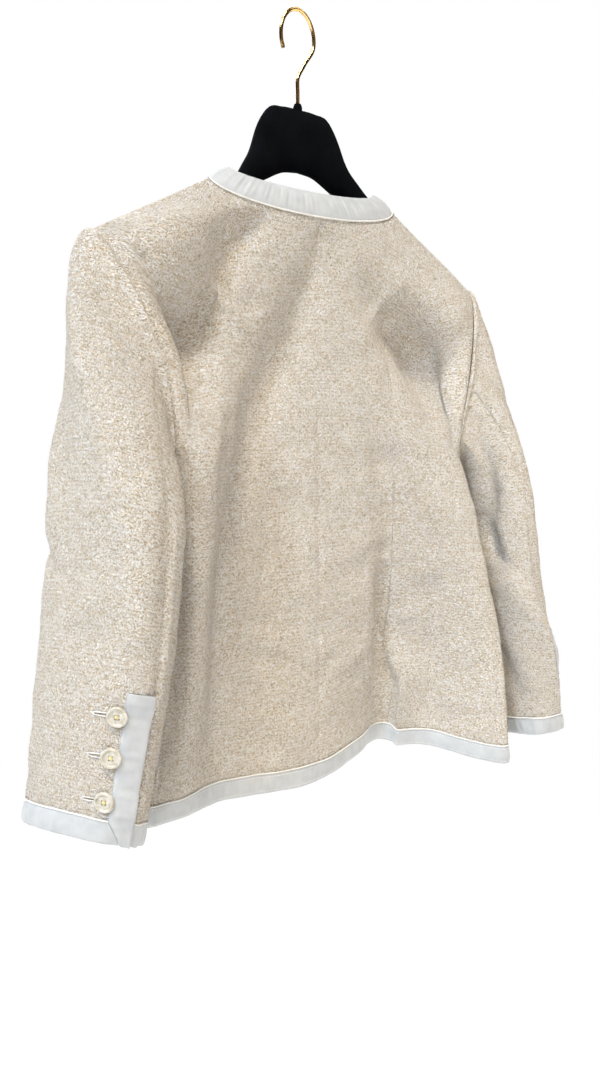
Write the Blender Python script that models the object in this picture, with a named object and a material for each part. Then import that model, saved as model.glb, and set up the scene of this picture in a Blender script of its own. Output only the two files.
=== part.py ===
"""A collarless cropped tweed jacket that hangs on a contoured clothes hanger.

Metres, +Z up. The jacket's back faces +Y and its wearer's left is at +X. The origin is the
inside top of the hook, where a rail holds the hanger. Every cloth piece is a wall: its outer
face is read from one surface for the body or one for each sleeve, so neighbours share seams.
"""
import math
from functools import lru_cache

import bmesh
import bpy
import numpy as np
from mathutils import Matrix

# ---- Walls, gaps and bands ------------------------------------------------------------------
TWEED_WALL = 0.0018
BAND_WALL = 0.0024
SEAM_GAP = 0.0003
BAND_WIDTH = 0.020
HALF_GIRTH = 0.49            # nominal, centre back to centre front at the chest
SLEEVE_GIRTH = 0.31          # nominal, round the middle of a sleeve
BODY_LENGTH = 0.34           # nominal, chest line to hem

# ---- Lines of the cut, as shares of the half girth from centre back to centre front ---------
PRINCESS_SEAM = 0.18
BACK_NOTCH = 0.37            # the side-back seam, which runs up into the armhole
FRONT_NOTCH = 0.62           # the side-front seam, likewise
FRONT_EDGE = 1.0 - 0.0006 / HALF_GIRTH
FRONT_BAND_SEAM = 1.0 - BAND_WIDTH / HALF_GIRTH
SEAM_INSET = SEAM_GAP / 2 / HALF_GIRTH

# ---- Levels ----------------------------------------------------------------------------------
BACK_CHEST_Z = -0.390        # back notch of the armhole
FRONT_CHEST_Z = -0.378
UNDERARM_DIP = 0.045         # how far the armhole drops below its notches
HEM = {    # share, z
    "left": [(0.00, -0.7255), (0.22, -0.7250), (0.32, -0.7240), (0.40, -0.728), (0.70, -0.732), (1.00, -0.732)],
    "right": [(0.00, -0.7255), (0.20, -0.7275), (0.40, -0.740), (0.70, -0.742), (1.00, -0.732)],
}

# ---- Half sections of the body, from centre back round one side to centre front -------------
# z, back, tuck x and y, blade x and y, side x and y, breast x and y, front
SECTIONS = {
    "left": [
        (-0.745, 0.033, 0.105, 0.028, 0.182, 0.022, 0.202, -0.035, 0.150, -0.100, -0.088),
        (-0.600, 0.033, 0.100, 0.028, 0.156, 0.042, 0.184, -0.025, 0.148, -0.094, -0.083),
        (-0.500, 0.033, 0.092, 0.030, 0.146, 0.052, 0.176, -0.025, 0.148, -0.090, -0.080),
        (-0.390, 0.033, 0.085, 0.037, 0.156, 0.072, 0.182, 0.000, 0.150, -0.080, -0.078),
    ],
    "right": [
        (-0.745, 0.033, 0.134, -0.006, 0.217, 0.096, 0.249, 0.035, 0.185, -0.095, -0.088),
        (-0.600, 0.033, 0.112, 0.020, 0.204, 0.086, 0.226, 0.020, 0.172, -0.092, -0.083),
        (-0.500, 0.033, 0.095, 0.034, 0.183, 0.076, 0.199, 0.004, 0.158, -0.090, -0.080),
        (-0.390, 0.033, 0.085, 0.042, 0.158, 0.066, 0.187, 0.002, 0.150, -0.080, -0.078),
    ],
}

# ---- Large soft folds: a ridge stands out of the section, a trough sinks into it -------------
# top z, top across, low z, low across, half width, height; across runs from centre back and is
# positive to the wearer's left
FOLDS = [
    (-0.20, 0.085, -0.60, 0.125, 0.022, 0.007),
    (-0.27, 0.030, -0.74, 0.085, 0.026, -0.006),
    (-0.45, 0.020, -0.74, 0.020, 0.030, 0.004),
    (-0.25, -0.105, -0.36, -0.150, 0.022, -0.007),
    (-0.30, -0.050, -0.60, -0.060, 0.030, 0.004),
    (-0.60, -0.096, -0.80, -0.100, 0.018, 0.017),
]
FOLD_FADE = 0.06             # length over which a fold's ends die out

# ---- Neck, shoulders and armholes --------------------------------------------------------------
SHOULDER_TIP_X = 0.2116
SHOULDER_TIP_Y = 0.0125
SHOULDER_TIP_Z = {"left": -0.2175, "right": -0.2300}
ARMHOLE_HOLLOW = {"left": 1.8, "right": 1.2}      # how quickly the armhole curves in from the tip
SHOULDER_ROUND = (0.060, 0.170)   # drop over which the cloth turns down, at neck and tip
ROUND_POWER = 2.0
# half width, shoulder y and z, back y and z, front y and z
NECK_EDGE = (0.082, 0.0120, -0.1490, 0.0270, -0.1620, -0.0700, -0.2370)
NECK_SEAM = (0.104, 0.0150, -0.1625, 0.0345, -0.1855, -0.0780, -0.2580)
NECK_BAND_CROWN = 0.0008
NECK_BAND_END = 179.6

# ---- Sleeves -------------------------------------------------------------------------------------
SLEEVES = {    # z, x, y, half wide, half thin, turn in degrees
    "left": [
        (-0.740, 0.2500, 0.032, 0.056, 0.030, 27.0),
        (-0.640, 0.2370, 0.041, 0.058, 0.034, 24.0),
        (-0.560, 0.2265, 0.047, 0.061, 0.036, 22.0),
        (-0.460, 0.2150, 0.051, 0.063, 0.037, 18.0),
    ],
    "right": [
        (-0.740, 0.2910, 0.052, 0.054, 0.032, 14.0),
        (-0.640, 0.2735, 0.047, 0.058, 0.034, 14.0),
        (-0.560, 0.2550, 0.039, 0.061, 0.035, 14.0),
        (-0.460, 0.2370, 0.030, 0.063, 0.037, 12.0),
    ],
}
SLEEVE_HEAD_Z = -0.460
CUFF_Z = {"left": -0.705, "right": -0.7275}
CUFF_SLOPE = {"left": (0.03, 0.45), "right": (0.18, 0.04)}    # rise towards back and outside
SLEEVE_SWING = {"left": -0.020, "right": -0.100}     # share that the seams swing out by the cuff
SLEEVE_SQUARENESS = 2.5
HEAD_OUT = 0.33              # how far the sleeve head stands out before it turns down
HEAD_DOWN = 1.25
ARMHOLE_GAP = 0.0006         # from the armhole to the sleeve's first row
HIND_SEAM = 0.235            # shares of the sleeve's girth, from the top round the back
FORE_SEAM = 0.780
VENT_LENGTH = 0.124
VENT_WIDTH = 0.021
VENT_MITRE = 0.6             # share of the vent band that the mitre cuts across

# ---- Buttons -------------------------------------------------------------------------------------
BUTTON_RADIUS = 0.0090
BUTTON_THICKNESS = 0.0030
BUTTON_RIM = 0.0016
BUTTON_DISH = 0.0007
BUTTON_HOLE_RADIUS = 0.0009
BUTTON_HOLE_CIRCLE = 0.0019
BUTTON_FROM_BAND = 0.0085    # centre to the vent band's edge
BUTTON_STAND = 0.0005        # thread shank under the button
BUTTON_HEIGHTS = (0.034, 0.069, 0.101)     # above the cuff's edge

# ---- Hanger --------------------------------------------------------------------------------------
HANGER_HEAD = [    # x, top, bottom, half depth
    (0.000, -0.0845, -0.1400, 0.0090),
    (0.018, -0.0850, -0.1425, 0.0092),
    (0.034, -0.0895, -0.1500, 0.0096),
    (0.043, -0.1030, -0.1550, 0.0096),
    (0.051, -0.1230, -0.1610, 0.0092),
    (0.064, -0.1420, -0.1740, 0.0084),
]
HANGER_ARM_START = 0.082
HANGER_ARM_END = 0.193
HANGER_ARM_STEPS = 7
HANGER_ARM_HEIGHT = (0.036, 0.026)
HANGER_ARM_DEPTH = (0.0076, 0.0112)
HANGER_CLEARANCE = (0.0100, 0.0012)    # below the cloth, at the neck and at the tip
HANGER_LEAN = 0.0120         # the arms lie this far behind the hook
HANGER_LEAN_START = 0.040
HOOK_WIRE_RADIUS = 0.00175
HOOK_HALF_WIDTH = 0.0185
HOOK_HALF_HEIGHT = 0.0240
HOOK_STRAIGHT_TOP = -0.058
FERRULE_RADIUS = 0.0042
FERRULE_HEIGHT = 0.0052
FERRULE_SUNK = 0.0040        # depth to which its foot is let into the hanger's top

SIGN = {"left": 1.0, "right": -1.0}

# ---- Surfaces: colour, roughness, metallic --------------------------------------------------------
TWEED = ((0.80, 0.70, 0.56), 0.95, 0.0)
TAPE = ((0.86, 0.82, 0.76), 0.70, 0.0)
RESIN = ((0.80, 0.74, 0.60), 0.30, 0.0)
VELVET = ((0.008, 0.008, 0.010), 0.90, 0.0)
BRASS = ((0.78, 0.55, 0.22), 0.20, 1.0)


# ---- Curves --------------------------------------------------------------------------------------
def smooth(knots, values, at):
    """Values of a smooth curve through the rows of values, read at one place."""
    knots = np.asarray(knots, float)
    values = np.asarray(values, float)
    slopes = np.gradient(values, knots, axis=0)
    at = min(max(at, knots[0]), knots[-1])
    i = min(int(np.searchsorted(knots, at, side="right")) - 1, len(knots) - 2)
    span = knots[i + 1] - knots[i]
    u = (at - knots[i]) / span
    start = (1 + 2 * u) * (1 - u) ** 2 * values[i] + u * (1 - u) ** 2 * span * slopes[i]
    end = u * u * (3 - 2 * u) * values[i + 1] + u * u * (u - 1) * span * slopes[i + 1]
    return start + end


def table_at(rows, at):
    """A row of a table whose first column rises, read between its rows."""
    rows = np.asarray(rows, float)
    return smooth(rows[:, 0], rows[:, 1:], at)


def along(polyline):
    """Distance along a polyline as shares of its length."""
    steps = np.linalg.norm(np.diff(polyline, axis=0), axis=1)
    total = np.concatenate([[0.0], np.cumsum(steps)])
    return total / total[-1]


def read(shares, polyline, at):
    return np.array([np.interp(at, shares, polyline[:, k]) for k in range(polyline.shape[1])])


def ease(value):
    value = min(max(value, 0.0), 1.0)
    return value * value * (3 - 2 * value)


# ---- Body surface ----------------------------------------------------------------------------------
@lru_cache(maxsize=None)
def half_section(side, z):
    """Plan outline of one half of the body at a level, and its shares of length."""
    back, tuck_x, tuck_y, blade_x, blade_y, side_x, side_y, breast_x, breast_y, front = \
        table_at(SECTIONS[side], z)
    stations = np.array([(-tuck_x, tuck_y), (0, back), (tuck_x, tuck_y), (blade_x, blade_y),
                         (side_x, side_y), (breast_x, breast_y), (0, front), (-breast_x, breast_y)])
    knots = np.concatenate([[0.0], np.cumsum(np.linalg.norm(np.diff(stations, axis=0), axis=1))])
    places = np.linspace(knots[1], knots[-2], 90)
    outline = np.array([smooth(knots, stations, place) for place in places])
    return along(outline), outline


def section_point(side, share, z):
    """Plan place and outward direction on the section."""
    shares, outline = half_section(side, round(z, 5))
    place = read(shares, outline, share)
    step = read(shares, outline, min(share + 0.01, 1)) - read(shares, outline, max(share - 0.01, 0))
    outward = np.array([-step[1], step[0]]) / np.linalg.norm(step)
    return place, outward


def fold_height(side, share, z):
    across = SIGN[side] * share * HALF_GIRTH
    height = 0.0
    for top_z, top_across, low_z, low_across, half_width, fold in FOLDS:
        down = (top_z - z) / (top_z - low_z)
        centre = top_across + (low_across - top_across) * min(max(down, 0.0), 1.0)
        fade = ease((top_z - z) / FOLD_FADE) * ease((z - low_z) / FOLD_FADE + 1.0)
        height += fold * fade * math.exp(-((across - centre) / half_width) ** 2)
    return height


def neck_point(curve, side, turn):
    """Point of a neck curve; turn is 0 at centre back, 90 at the shoulder, 180 at centre front."""
    half_width, shoulder_y, shoulder_z, back_y, back_z, front_y, front_z = curve
    swing = math.cos(math.radians(turn))
    end_y, end_z = (back_y, back_z) if swing > 0 else (front_y, front_z)
    y = shoulder_y + (end_y - shoulder_y) * abs(swing)
    z = shoulder_z + (end_z - shoulder_z) * abs(swing)
    return np.array([SIGN[side] * half_width * math.sin(math.radians(turn)), y, z])


def chest_z(share):
    """Level of the line through the armhole's notches and its lowest stretch."""
    if share <= BACK_NOTCH:
        return BACK_CHEST_Z
    if share >= FRONT_NOTCH:
        return FRONT_CHEST_Z
    way = (share - BACK_NOTCH) / (FRONT_NOTCH - BACK_NOTCH)
    return BACK_CHEST_Z + (FRONT_CHEST_Z - BACK_CHEST_Z) * way - UNDERARM_DIP * math.sin(math.pi * way)


def hem_z(side, share):
    return float(table_at(HEM[side], share)[0])


def top_edge(side, share):
    """Where a column of the body starts, and how far along the shoulder seam, 0 on the neck seam."""
    is_back = share <= BACK_NOTCH
    reach = share / BACK_NOTCH if is_back else (1 - share) / (1 - FRONT_NOTCH)
    place, _ = section_point(side, share, chest_z(share))
    notch, _ = section_point(side, BACK_NOTCH if is_back else FRONT_NOTCH, chest_z(share))
    x = place[0] + (SHOULDER_TIP_X - notch[0]) * reach ** 3
    neck_x, neck_y, neck_z = NECK_SEAM[0], NECK_SEAM[1], NECK_SEAM[2]
    if x < neck_x:
        turn = math.degrees(math.asin(max(x, 0.0) / neck_x))
        return neck_point(NECK_SEAM, side, turn if is_back else 180 - turn) * [SIGN[side], 1, 1], 0.0
    way = (x - neck_x) / (SHOULDER_TIP_X - neck_x)
    y = neck_y + (SHOULDER_TIP_Y - neck_y) * way + (SEAM_GAP / 2 if is_back else -SEAM_GAP / 2)
    return np.array([x, y, neck_z + (SHOULDER_TIP_Z[side] - neck_z) * way]), way


def body_point(side, share, down):
    """Outer face of the body: down is 0 at the top edge, 1 at the chest line and 2 at the hem."""
    chest = chest_z(share)
    if down >= 1:
        z = chest + (hem_z(side, share) - chest) * (down - 1)
        place, outward = section_point(side, share, z)
        x, y = place + outward * fold_height(side, share, z)
        return np.array([SIGN[side] * x, y, z])
    top, way = top_edge(side, share)
    z = top[2] + (chest - top[2]) * down
    place, outward = section_point(side, share, chest)
    x, y = place + outward * fold_height(side, share, z)
    reach = min(share / BACK_NOTCH, (1 - share) / (1 - FRONT_NOTCH))
    turn_drop = SHOULDER_ROUND[0] + (SHOULDER_ROUND[1] - SHOULDER_ROUND[0]) * reach
    gone = min((top[2] - z) / turn_drop, 1.0)
    rounded = (1 - (1 - gone) ** 2) ** (1 / (1 + (ROUND_POWER - 1) * way))
    x += (top[0] - x) * (1 - down) ** ARMHOLE_HOLLOW[side]
    y = top[1] + (y - top[1]) * rounded
    return np.array([SIGN[side] * x, y, z])


def neck_outward(side, turn):
    """Direction out of the cloth along the neck seam: level at the centres, upward at the shoulder."""
    swing = math.radians(turn)
    outward = np.array([SIGN[side] * 0.5 * math.sin(swing), math.cos(swing), math.sin(swing)])
    return outward / np.linalg.norm(outward)


def top_outward(side, share, outward):
    """Direction out of the cloth on the top edge, the same for both pieces that meet there."""
    top, way = top_edge(side, share)
    if way > 0:
        level = outward * [1, 0, 1]
        return level / np.linalg.norm(level)
    turn = math.degrees(math.asin(min(top[0] / NECK_SEAM[0], 1.0)))
    return neck_outward(side, turn if share <= BACK_NOTCH else 180 - turn)


# ---- Sleeve surface --------------------------------------------------------------------------------
@lru_cache(maxsize=None)
def armhole(side):
    """The armhole from the shoulder tip down the back, under the arm and up the front."""
    back = [body_point(side, BACK_NOTCH, down) for down in np.linspace(0, 0.999, 16)]
    low = [body_point(side, share, 1.0) for share in np.linspace(BACK_NOTCH, FRONT_NOTCH, 12)]
    front = [body_point(side, FRONT_NOTCH, down) for down in np.linspace(0.999, 0, 16)]
    ring = np.array(back + low[1:-1] + front)
    return along(ring), ring


@lru_cache(maxsize=None)
def sleeve_section(side, z):
    """Plan outline round the sleeve at a level, from its outer side round the back."""
    x, y, half_wide, half_thin, turn = table_at(SLEEVES[side], z)
    angles = np.linspace(0, 2 * math.pi, 121)
    power = 2 / SLEEVE_SQUARENESS
    thin = half_thin * np.sign(np.cos(angles)) * np.abs(np.cos(angles)) ** power
    wide = half_wide * np.sign(np.sin(angles)) * np.abs(np.sin(angles)) ** power
    cos, sin = math.cos(math.radians(turn)), math.sin(math.radians(turn))
    outline = np.stack([x + thin * cos - wide * sin, y + thin * sin + wide * cos], 1)
    return along(outline), outline, wide, thin


def swung(side, share, z):
    """Share of the outline at a level, as the seams swing round the sleeve towards the cuff."""
    fallen = max((SLEEVE_HEAD_Z - z) / (SLEEVE_HEAD_Z - CUFF_Z[side]), 0.0)
    return (share + SLEEVE_SWING[side] * fallen ** 2) % 1.0


def sleeve_level(side, share, z):
    shares, outline = sleeve_section(side, round(z, 5))[:2]
    x, y = read(shares, outline, swung(side, share, z))
    return np.array([SIGN[side] * x, y, z])


def cuff_z(side, share):
    """Height of the cuff's edge, which slopes across the sleeve."""
    shares, _, wide, thin = sleeve_section(side, CUFF_Z[side])
    offset = read(shares, np.stack([wide, thin], 1), swung(side, share, CUFF_Z[side]))
    return CUFF_Z[side] + float(offset @ np.array(CUFF_SLOPE[side]))


def sleeve_point(side, share, down):
    """Outer face of a sleeve: down is 0 at the armhole, 1 below its head and 2 at the cuff."""
    if down >= 1:
        z = SLEEVE_HEAD_Z + (cuff_z(side, share) - SLEEVE_HEAD_Z) * (down - 1)
        return sleeve_level(side, share, z)
    shares, ring = armhole(side)
    start = read(shares, ring, share % 1.0)
    end = sleeve_level(side, share, SLEEVE_HEAD_Z)
    below = sleeve_level(side, share, SLEEVE_HEAD_Z - 0.02)
    length = np.linalg.norm(end - start)
    out = np.array([SIGN[side], 0.0, 0.0]) * HEAD_OUT * length
    fall = (below - end) / np.linalg.norm(below - end) * HEAD_DOWN * length
    begin = ARMHOLE_GAP / HEAD_OUT / length
    u = begin + down * (1 - begin)
    return ((1 + 2 * u) * (1 - u) ** 2 * start + u * (1 - u) ** 2 * out
            + u * u * (3 - 2 * u) * end + u * u * (u - 1) * fall)


# ---- Walls -------------------------------------------------------------------------------------------
def outer_grid(point_at, side, shares, downs, flip):
    """Points and outward directions of a surface on a grid; shares and downs may be grids."""
    shares, downs = np.broadcast_arrays(np.atleast_2d(shares), np.reshape(downs, (len(downs), -1)))
    points = np.zeros(shares.shape + (3,))
    outward = np.zeros_like(points)
    nudge = 0.004
    is_body = point_at is body_point
    for i in range(shares.shape[0]):
        for j in range(shares.shape[1]):
            share, down = shares[i, j], downs[i, j]
            points[i, j] = point_at(side, share, down)
            low_down = 1.0 if is_body and down >= 1 else 0.0
            high_down = 1.0 if down < 1 else 2.0
            behind = max(share - nudge, 0.0) if is_body else share - nudge
            ahead = min(share + nudge, 1.0) if is_body else share + nudge
            across = point_at(side, ahead, down) - point_at(side, behind, down)
            fall = (point_at(side, share, min(down + nudge, high_down))
                    - point_at(side, share, max(down - nudge, low_down)))
            normal = np.cross(across, fall) * SIGN[side] * flip
            outward[i, j] = normal / np.linalg.norm(normal)
            if is_body and down == 0:
                outward[i, j] = top_outward(side, share, outward[i, j])
    return points, outward


def wall(name, points, outward, thickness, surface, cells=None):
    """Closed wall between a grid of points and the same grid moved in by the thickness."""
    rows, columns = points.shape[:2]
    if cells is None:
        cells = np.ones((rows - 1, columns - 1), bool)
    inner = points - outward * thickness
    mesh = bmesh.new()
    made = {}

    def vertex(layer, i, j):
        if (layer, i, j) not in made:
            made[layer, i, j] = mesh.verts.new((points if layer == 0 else inner)[i, j])
        return made[layer, i, j]

    def is_cell(i, j):
        return 0 <= i < rows - 1 and 0 <= j < columns - 1 and cells[i, j]

    for i in range(rows - 1):
        for j in range(columns - 1):
            if not cells[i, j]:
                continue
            corners = [(i, j), (i, j + 1), (i + 1, j + 1), (i + 1, j)]
            mesh.faces.new([vertex(0, *corner) for corner in corners])
            mesh.faces.new([vertex(1, *corner) for corner in reversed(corners)])
            beyond = [(i - 1, j), (i, j + 1), (i + 1, j), (i, j - 1)]
            for side in range(4):
                if is_cell(*beyond[side]):
                    continue
                first, second = corners[side], corners[(side + 1) % 4]
                mesh.faces.new([vertex(0, *second), vertex(0, *first),
                                vertex(1, *first), vertex(1, *second)])
    return finish(name, mesh, surface)


def finish(name, mesh, surface, sharp=math.radians(40)):
    bmesh.ops.recalc_face_normals(mesh, faces=mesh.faces)
    data = bpy.data.meshes.new(name)
    mesh.to_mesh(data)
    mesh.free()
    data.materials.append(material(name, surface))
    data.shade_smooth()
    data.set_sharp_from_angle(angle=sharp)
    made = bpy.data.objects.new(name, data)
    bpy.context.scene.collection.objects.link(made)
    return made


def material(name, surface):
    colour, roughness, metallic = surface
    made = bpy.data.materials.new(name)
    made.use_nodes = True
    shader = made.node_tree.nodes["Principled BSDF"]
    shader.inputs["Base Color"].default_value = (*colour, 1.0)
    shader.inputs["Roughness"].default_value = roughness
    shader.inputs["Metallic"].default_value = metallic
    made.diffuse_color = (*colour, 1.0)
    return made


# ---- Body pieces ---------------------------------------------------------------------------------------
UPPER_ROWS = (0.0, 0.03, 0.08, 0.16, 0.28, 0.43, 0.61, 0.80, 1.0)
LOWER_ROWS = 8
BACK_TURNS = (0, 10, 20, 30, 40, 49)         # columns of the back's neck, up to the princess seam
SIDE_TURNS = (73, 90)                    # and from it to the shoulder seam
FRONT_TURNS = (90, 107, 124, 141, 157)
SHOULDER_COLUMNS = 5
UNDERARM_COLUMNS = 6


def steps(first, last, count):
    return np.linspace(first, last, count + 1)


def band_down(side, shares):
    """Where the hem band starts, as a value of down for each share."""
    return np.array([2 - BAND_WIDTH / (chest_z(share) - hem_z(side, share)) for share in shares])


def panel_downs(side, shares, first_row):
    """Rows of a panel from its top edge, or from the chest line, to the hem band."""
    ends = band_down(side, shares) - SEAM_GAP / 2 / BODY_LENGTH
    rows = [np.full(len(shares), down) for down in UPPER_ROWS[first_row:-1]]
    rows += [1 + (ends - 1) * way for way in steps(0, 1, LOWER_ROWS)]
    return np.array(rows)


def share_at_neck(side, turn, is_back):
    """The share of the girth whose column starts at this turn of the neck seam."""
    low, high = (0.0, BACK_NOTCH) if is_back else (FRONT_NOTCH, 1.0)
    goal = NECK_SEAM[0] * math.sin(math.radians(turn))
    for _ in range(40):
        middle = (low + high) / 2
        if (top_edge(side, middle)[0][0] < goal) == is_back:
            low = middle
        else:
            high = middle
    return middle


def neck_turn(side, share):
    """The turn of the neck seam where this share's column starts."""
    turn = math.degrees(math.asin(min(top_edge(side, share)[0][0] / NECK_SEAM[0], 1.0)))
    return turn if share <= BACK_NOTCH else 180 - turn


def panel_shares(side):
    """Columns of each panel from its first seam to its last."""
    back = [share_at_neck(side, turn, True) for turn in BACK_TURNS[1:]]
    back_side = [share_at_neck(side, turn, True) for turn in SIDE_TURNS]
    front = [share_at_neck(side, turn, False) for turn in FRONT_TURNS]
    return {
        "back_centre": [0.0, *back, PRINCESS_SEAM],
        "back_side": [PRINCESS_SEAM, *back_side, *steps(back_side[-1], BACK_NOTCH, SHOULDER_COLUMNS)[1:]],
        "underarm": list(steps(BACK_NOTCH, FRONT_NOTCH, UNDERARM_COLUMNS)),
        "front": [*steps(FRONT_NOTCH, front[0], SHOULDER_COLUMNS)[:-1], *front, FRONT_BAND_SEAM],
        "front_band": [FRONT_BAND_SEAM, 1 - BAND_WIDTH / 2 / HALF_GIRTH, FRONT_EDGE + SEAM_INSET],
    }


def make_body(side):
    for panel, columns in panel_shares(side).items():
        shares = np.array([columns[0] + SEAM_INSET, *columns[1:-1], columns[-1] - SEAM_INSET])
        downs = panel_downs(side, shares, len(UPPER_ROWS) if panel == "underarm" else 0)
        points, outward = outer_grid(body_point, side, shares, downs, 1)
        is_band = panel == "front_band"
        wall(f"{panel}_{side}", points, outward, BAND_WALL if is_band else TWEED_WALL,
             TAPE if is_band else TWEED)


def make_hem_band():
    """Band from one front edge round the back to the other, with a column under each panel's."""
    halves = []
    for side in SIGN:
        columns = [0.0]
        for panel in panel_shares(side).values():
            columns += panel[1:]
        shares = np.array([*columns[:-1], FRONT_EDGE])
        starts = band_down(side, shares) + SEAM_GAP / 2 / BODY_LENGTH
        downs = np.array([starts + (2 - starts) * way for way in steps(0, 1, 2)])
        halves.append(outer_grid(body_point, side, shares, downs, 1))
    (left, left_out), (right, right_out) = halves
    right_out[:, 0] = (left_out[:, 0] + right_out[:, 0]) / 2
    points = np.concatenate([left[:, :0:-1], right], axis=1)
    outward = np.concatenate([left_out[:, :0:-1], right_out], axis=1)
    wall("hem_band", points, outward, BAND_WALL, TAPE)


def neck_turns(side):
    """Turns of the neck band's columns, one for each column of the panels below it."""
    columns = panel_shares(side)
    meets = {round(neck_turn(side, share), 3) for name in ("front", "front_band") for share in columns[name]}
    front = sorted(turn for turn in meets if turn > 90.5)
    return [*BACK_TURNS, neck_turn(side, PRINCESS_SEAM), *SIDE_TURNS, *front[:-1], NECK_BAND_END]


def make_neck_band():
    """Band between the neck seam and the neck's edge, from one front edge round to the other."""
    stations = [("left", turn) for turn in neck_turns("left")[:0:-1]]
    stations += [("right", turn) for turn in neck_turns("right")]
    points = np.zeros((3, len(stations), 3))
    for j, (side, turn) in enumerate(stations):
        edge, seam = neck_point(NECK_EDGE, side, turn), neck_point(NECK_SEAM, side, turn)
        across = (seam - edge) / np.linalg.norm(seam - edge)
        for i, way in enumerate((0.0, 0.5, 1.0)):
            points[i, j] = edge + (seam - across * SEAM_GAP - edge) * way
    fall = np.gradient(points, axis=0)
    run = np.gradient(points, axis=1)
    outward = np.cross(fall, run)
    outward /= np.linalg.norm(outward, axis=2, keepdims=True)
    outward[-1] = [neck_outward(side, turn) for side, turn in stations]
    points[1] += outward[1] * NECK_BAND_CROWN
    wall("neck_band", points, outward, BAND_WALL, TAPE)


# ---- Sleeve pieces ---------------------------------------------------------------------------------------
HEAD_ROWS = (0.0, 0.05, 0.14, 0.28, 0.46, 0.66, 0.86)
SLEEVE_TOP_COLUMNS = 11
SLEEVE_UNDER_COLUMNS = 10
VENT_COLUMNS = 3
VENT_ROWS = 3


def down_above_cuff(side, share, height):
    """The value of down at a height above the cuff's edge."""
    return 2 - height / (SLEEVE_HEAD_Z - cuff_z(side, share))


def sleeve_downs(side, shares, levels):
    rows = [np.full(len(shares), down) for down in HEAD_ROWS]
    for level in levels:
        rows.append(np.array([down_above_cuff(side, share, level(share)) for share in shares]))
    return np.array(rows)


def make_sleeve(side):
    inset = SEAM_GAP / 2 / SLEEVE_GIRTH
    vent_edge = HIND_SEAM - VENT_WIDTH / SLEEVE_GIRTH
    gap = SEAM_GAP / 2

    def drop(share):
        return SLEEVE_HEAD_Z - cuff_z(side, share)

    def above_vent(way):
        return lambda share: drop(share) + (VENT_LENGTH + gap - drop(share)) * way

    def beside_vent(way):
        return lambda share: VENT_LENGTH + gap + (BAND_WIDTH - VENT_LENGTH) * way

    levels = [above_vent(way) for way in steps(0, 1, 5)]
    levels += [beside_vent(way) for way in steps(0, 1, VENT_ROWS)[1:]]
    shares = np.concatenate([steps(FORE_SEAM - 1 + inset, vent_edge - inset, SLEEVE_TOP_COLUMNS),
                             steps(vent_edge + 2 * inset, HIND_SEAM - inset, VENT_COLUMNS)[1:]])
    downs = sleeve_downs(side, shares, levels)
    points, outward = outer_grid(sleeve_point, side, shares, downs, -1)
    cells = np.ones((downs.shape[0] - 1, downs.shape[1] - 1), bool)
    cells[-VENT_ROWS:, -VENT_COLUMNS:] = False
    wall(f"sleeve_top_{side}", points, outward, TWEED_WALL, TWEED, cells)

    shares = steps(HIND_SEAM + inset, FORE_SEAM - inset, SLEEVE_UNDER_COLUMNS)
    downs = sleeve_downs(side, shares, levels)
    points, outward = outer_grid(sleeve_point, side, shares, downs, -1)
    wall(f"sleeve_under_{side}", points, outward, TWEED_WALL, TWEED)

    corner = vent_edge - inset
    mitre = corner + (HIND_SEAM - vent_edge) * VENT_MITRE
    make_band(f"cuff_band_top_{side}", side,
              (FORE_SEAM - 1 + inset, FORE_SEAM - 1 + inset), (corner, mitre), SLEEVE_TOP_COLUMNS)
    make_band(f"cuff_band_under_{side}", side,
              (HIND_SEAM + inset, HIND_SEAM + inset), (FORE_SEAM - inset, FORE_SEAM - inset),
              SLEEVE_UNDER_COLUMNS)
    vent_band(side, corner + 3 * inset, mitre + 3 * inset, HIND_SEAM - inset)


def make_band(name, side, starts, ends, columns):
    """Cuff band; each pair gives the share where it starts or ends, at its top and at its low edge."""
    shares, downs = [], []
    for way in steps(0, 1, 2):
        row = steps(starts[0] + (starts[1] - starts[0]) * way, ends[0] + (ends[1] - ends[0]) * way, columns)
        height = (BAND_WIDTH - SEAM_GAP / 2) * (1 - way)
        shares.append(row)
        downs.append([down_above_cuff(side, share, height) for share in row])
    points, outward = outer_grid(sleeve_point, side, np.array(shares), np.array(downs), -1)
    wall(name, points, outward, BAND_WALL, TAPE)


def vent_band(side, corner, mitre, edge):
    """Band down the vent's edge, cut along the mitre where it meets the cuff band."""
    shares, downs = [], []
    heights = list(steps(VENT_LENGTH - SEAM_GAP, BAND_WIDTH - SEAM_GAP / 2, 4)) + [BAND_WIDTH / 2, 0.0]
    for height in heights:
        way = max(1 - height / (BAND_WIDTH - SEAM_GAP / 2), 0.0)
        row = steps(corner + (mitre - corner) * way, edge, VENT_COLUMNS)
        shares.append(row)
        downs.append([down_above_cuff(side, share, height) for share in row])
    points, outward = outer_grid(sleeve_point, side, np.array(shares), np.array(downs), -1)
    wall(f"vent_band_{side}", points, outward, BAND_WALL, TAPE)


# ---- Buttons ---------------------------------------------------------------------------------------------
def turned(profile, segments):
    """Closed solid turned about Z from (radius, z) points that start and end on the axis."""
    mesh = bmesh.new()
    rings = []
    for radius, z in profile:
        if radius == 0:
            rings.append([mesh.verts.new((0, 0, z))])
            continue
        angles = [2 * math.pi * k / segments for k in range(segments)]
        rings.append([mesh.verts.new((radius * math.cos(a), radius * math.sin(a), z)) for a in angles])
    for upper, lower in zip(rings, rings[1:]):
        for k in range(segments):
            corners = [upper[k % len(upper)], upper[(k + 1) % len(upper)],
                       lower[(k + 1) % len(lower)], lower[k % len(lower)]]
            mesh.faces.new(list(dict.fromkeys(corners)))
    return mesh


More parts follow.
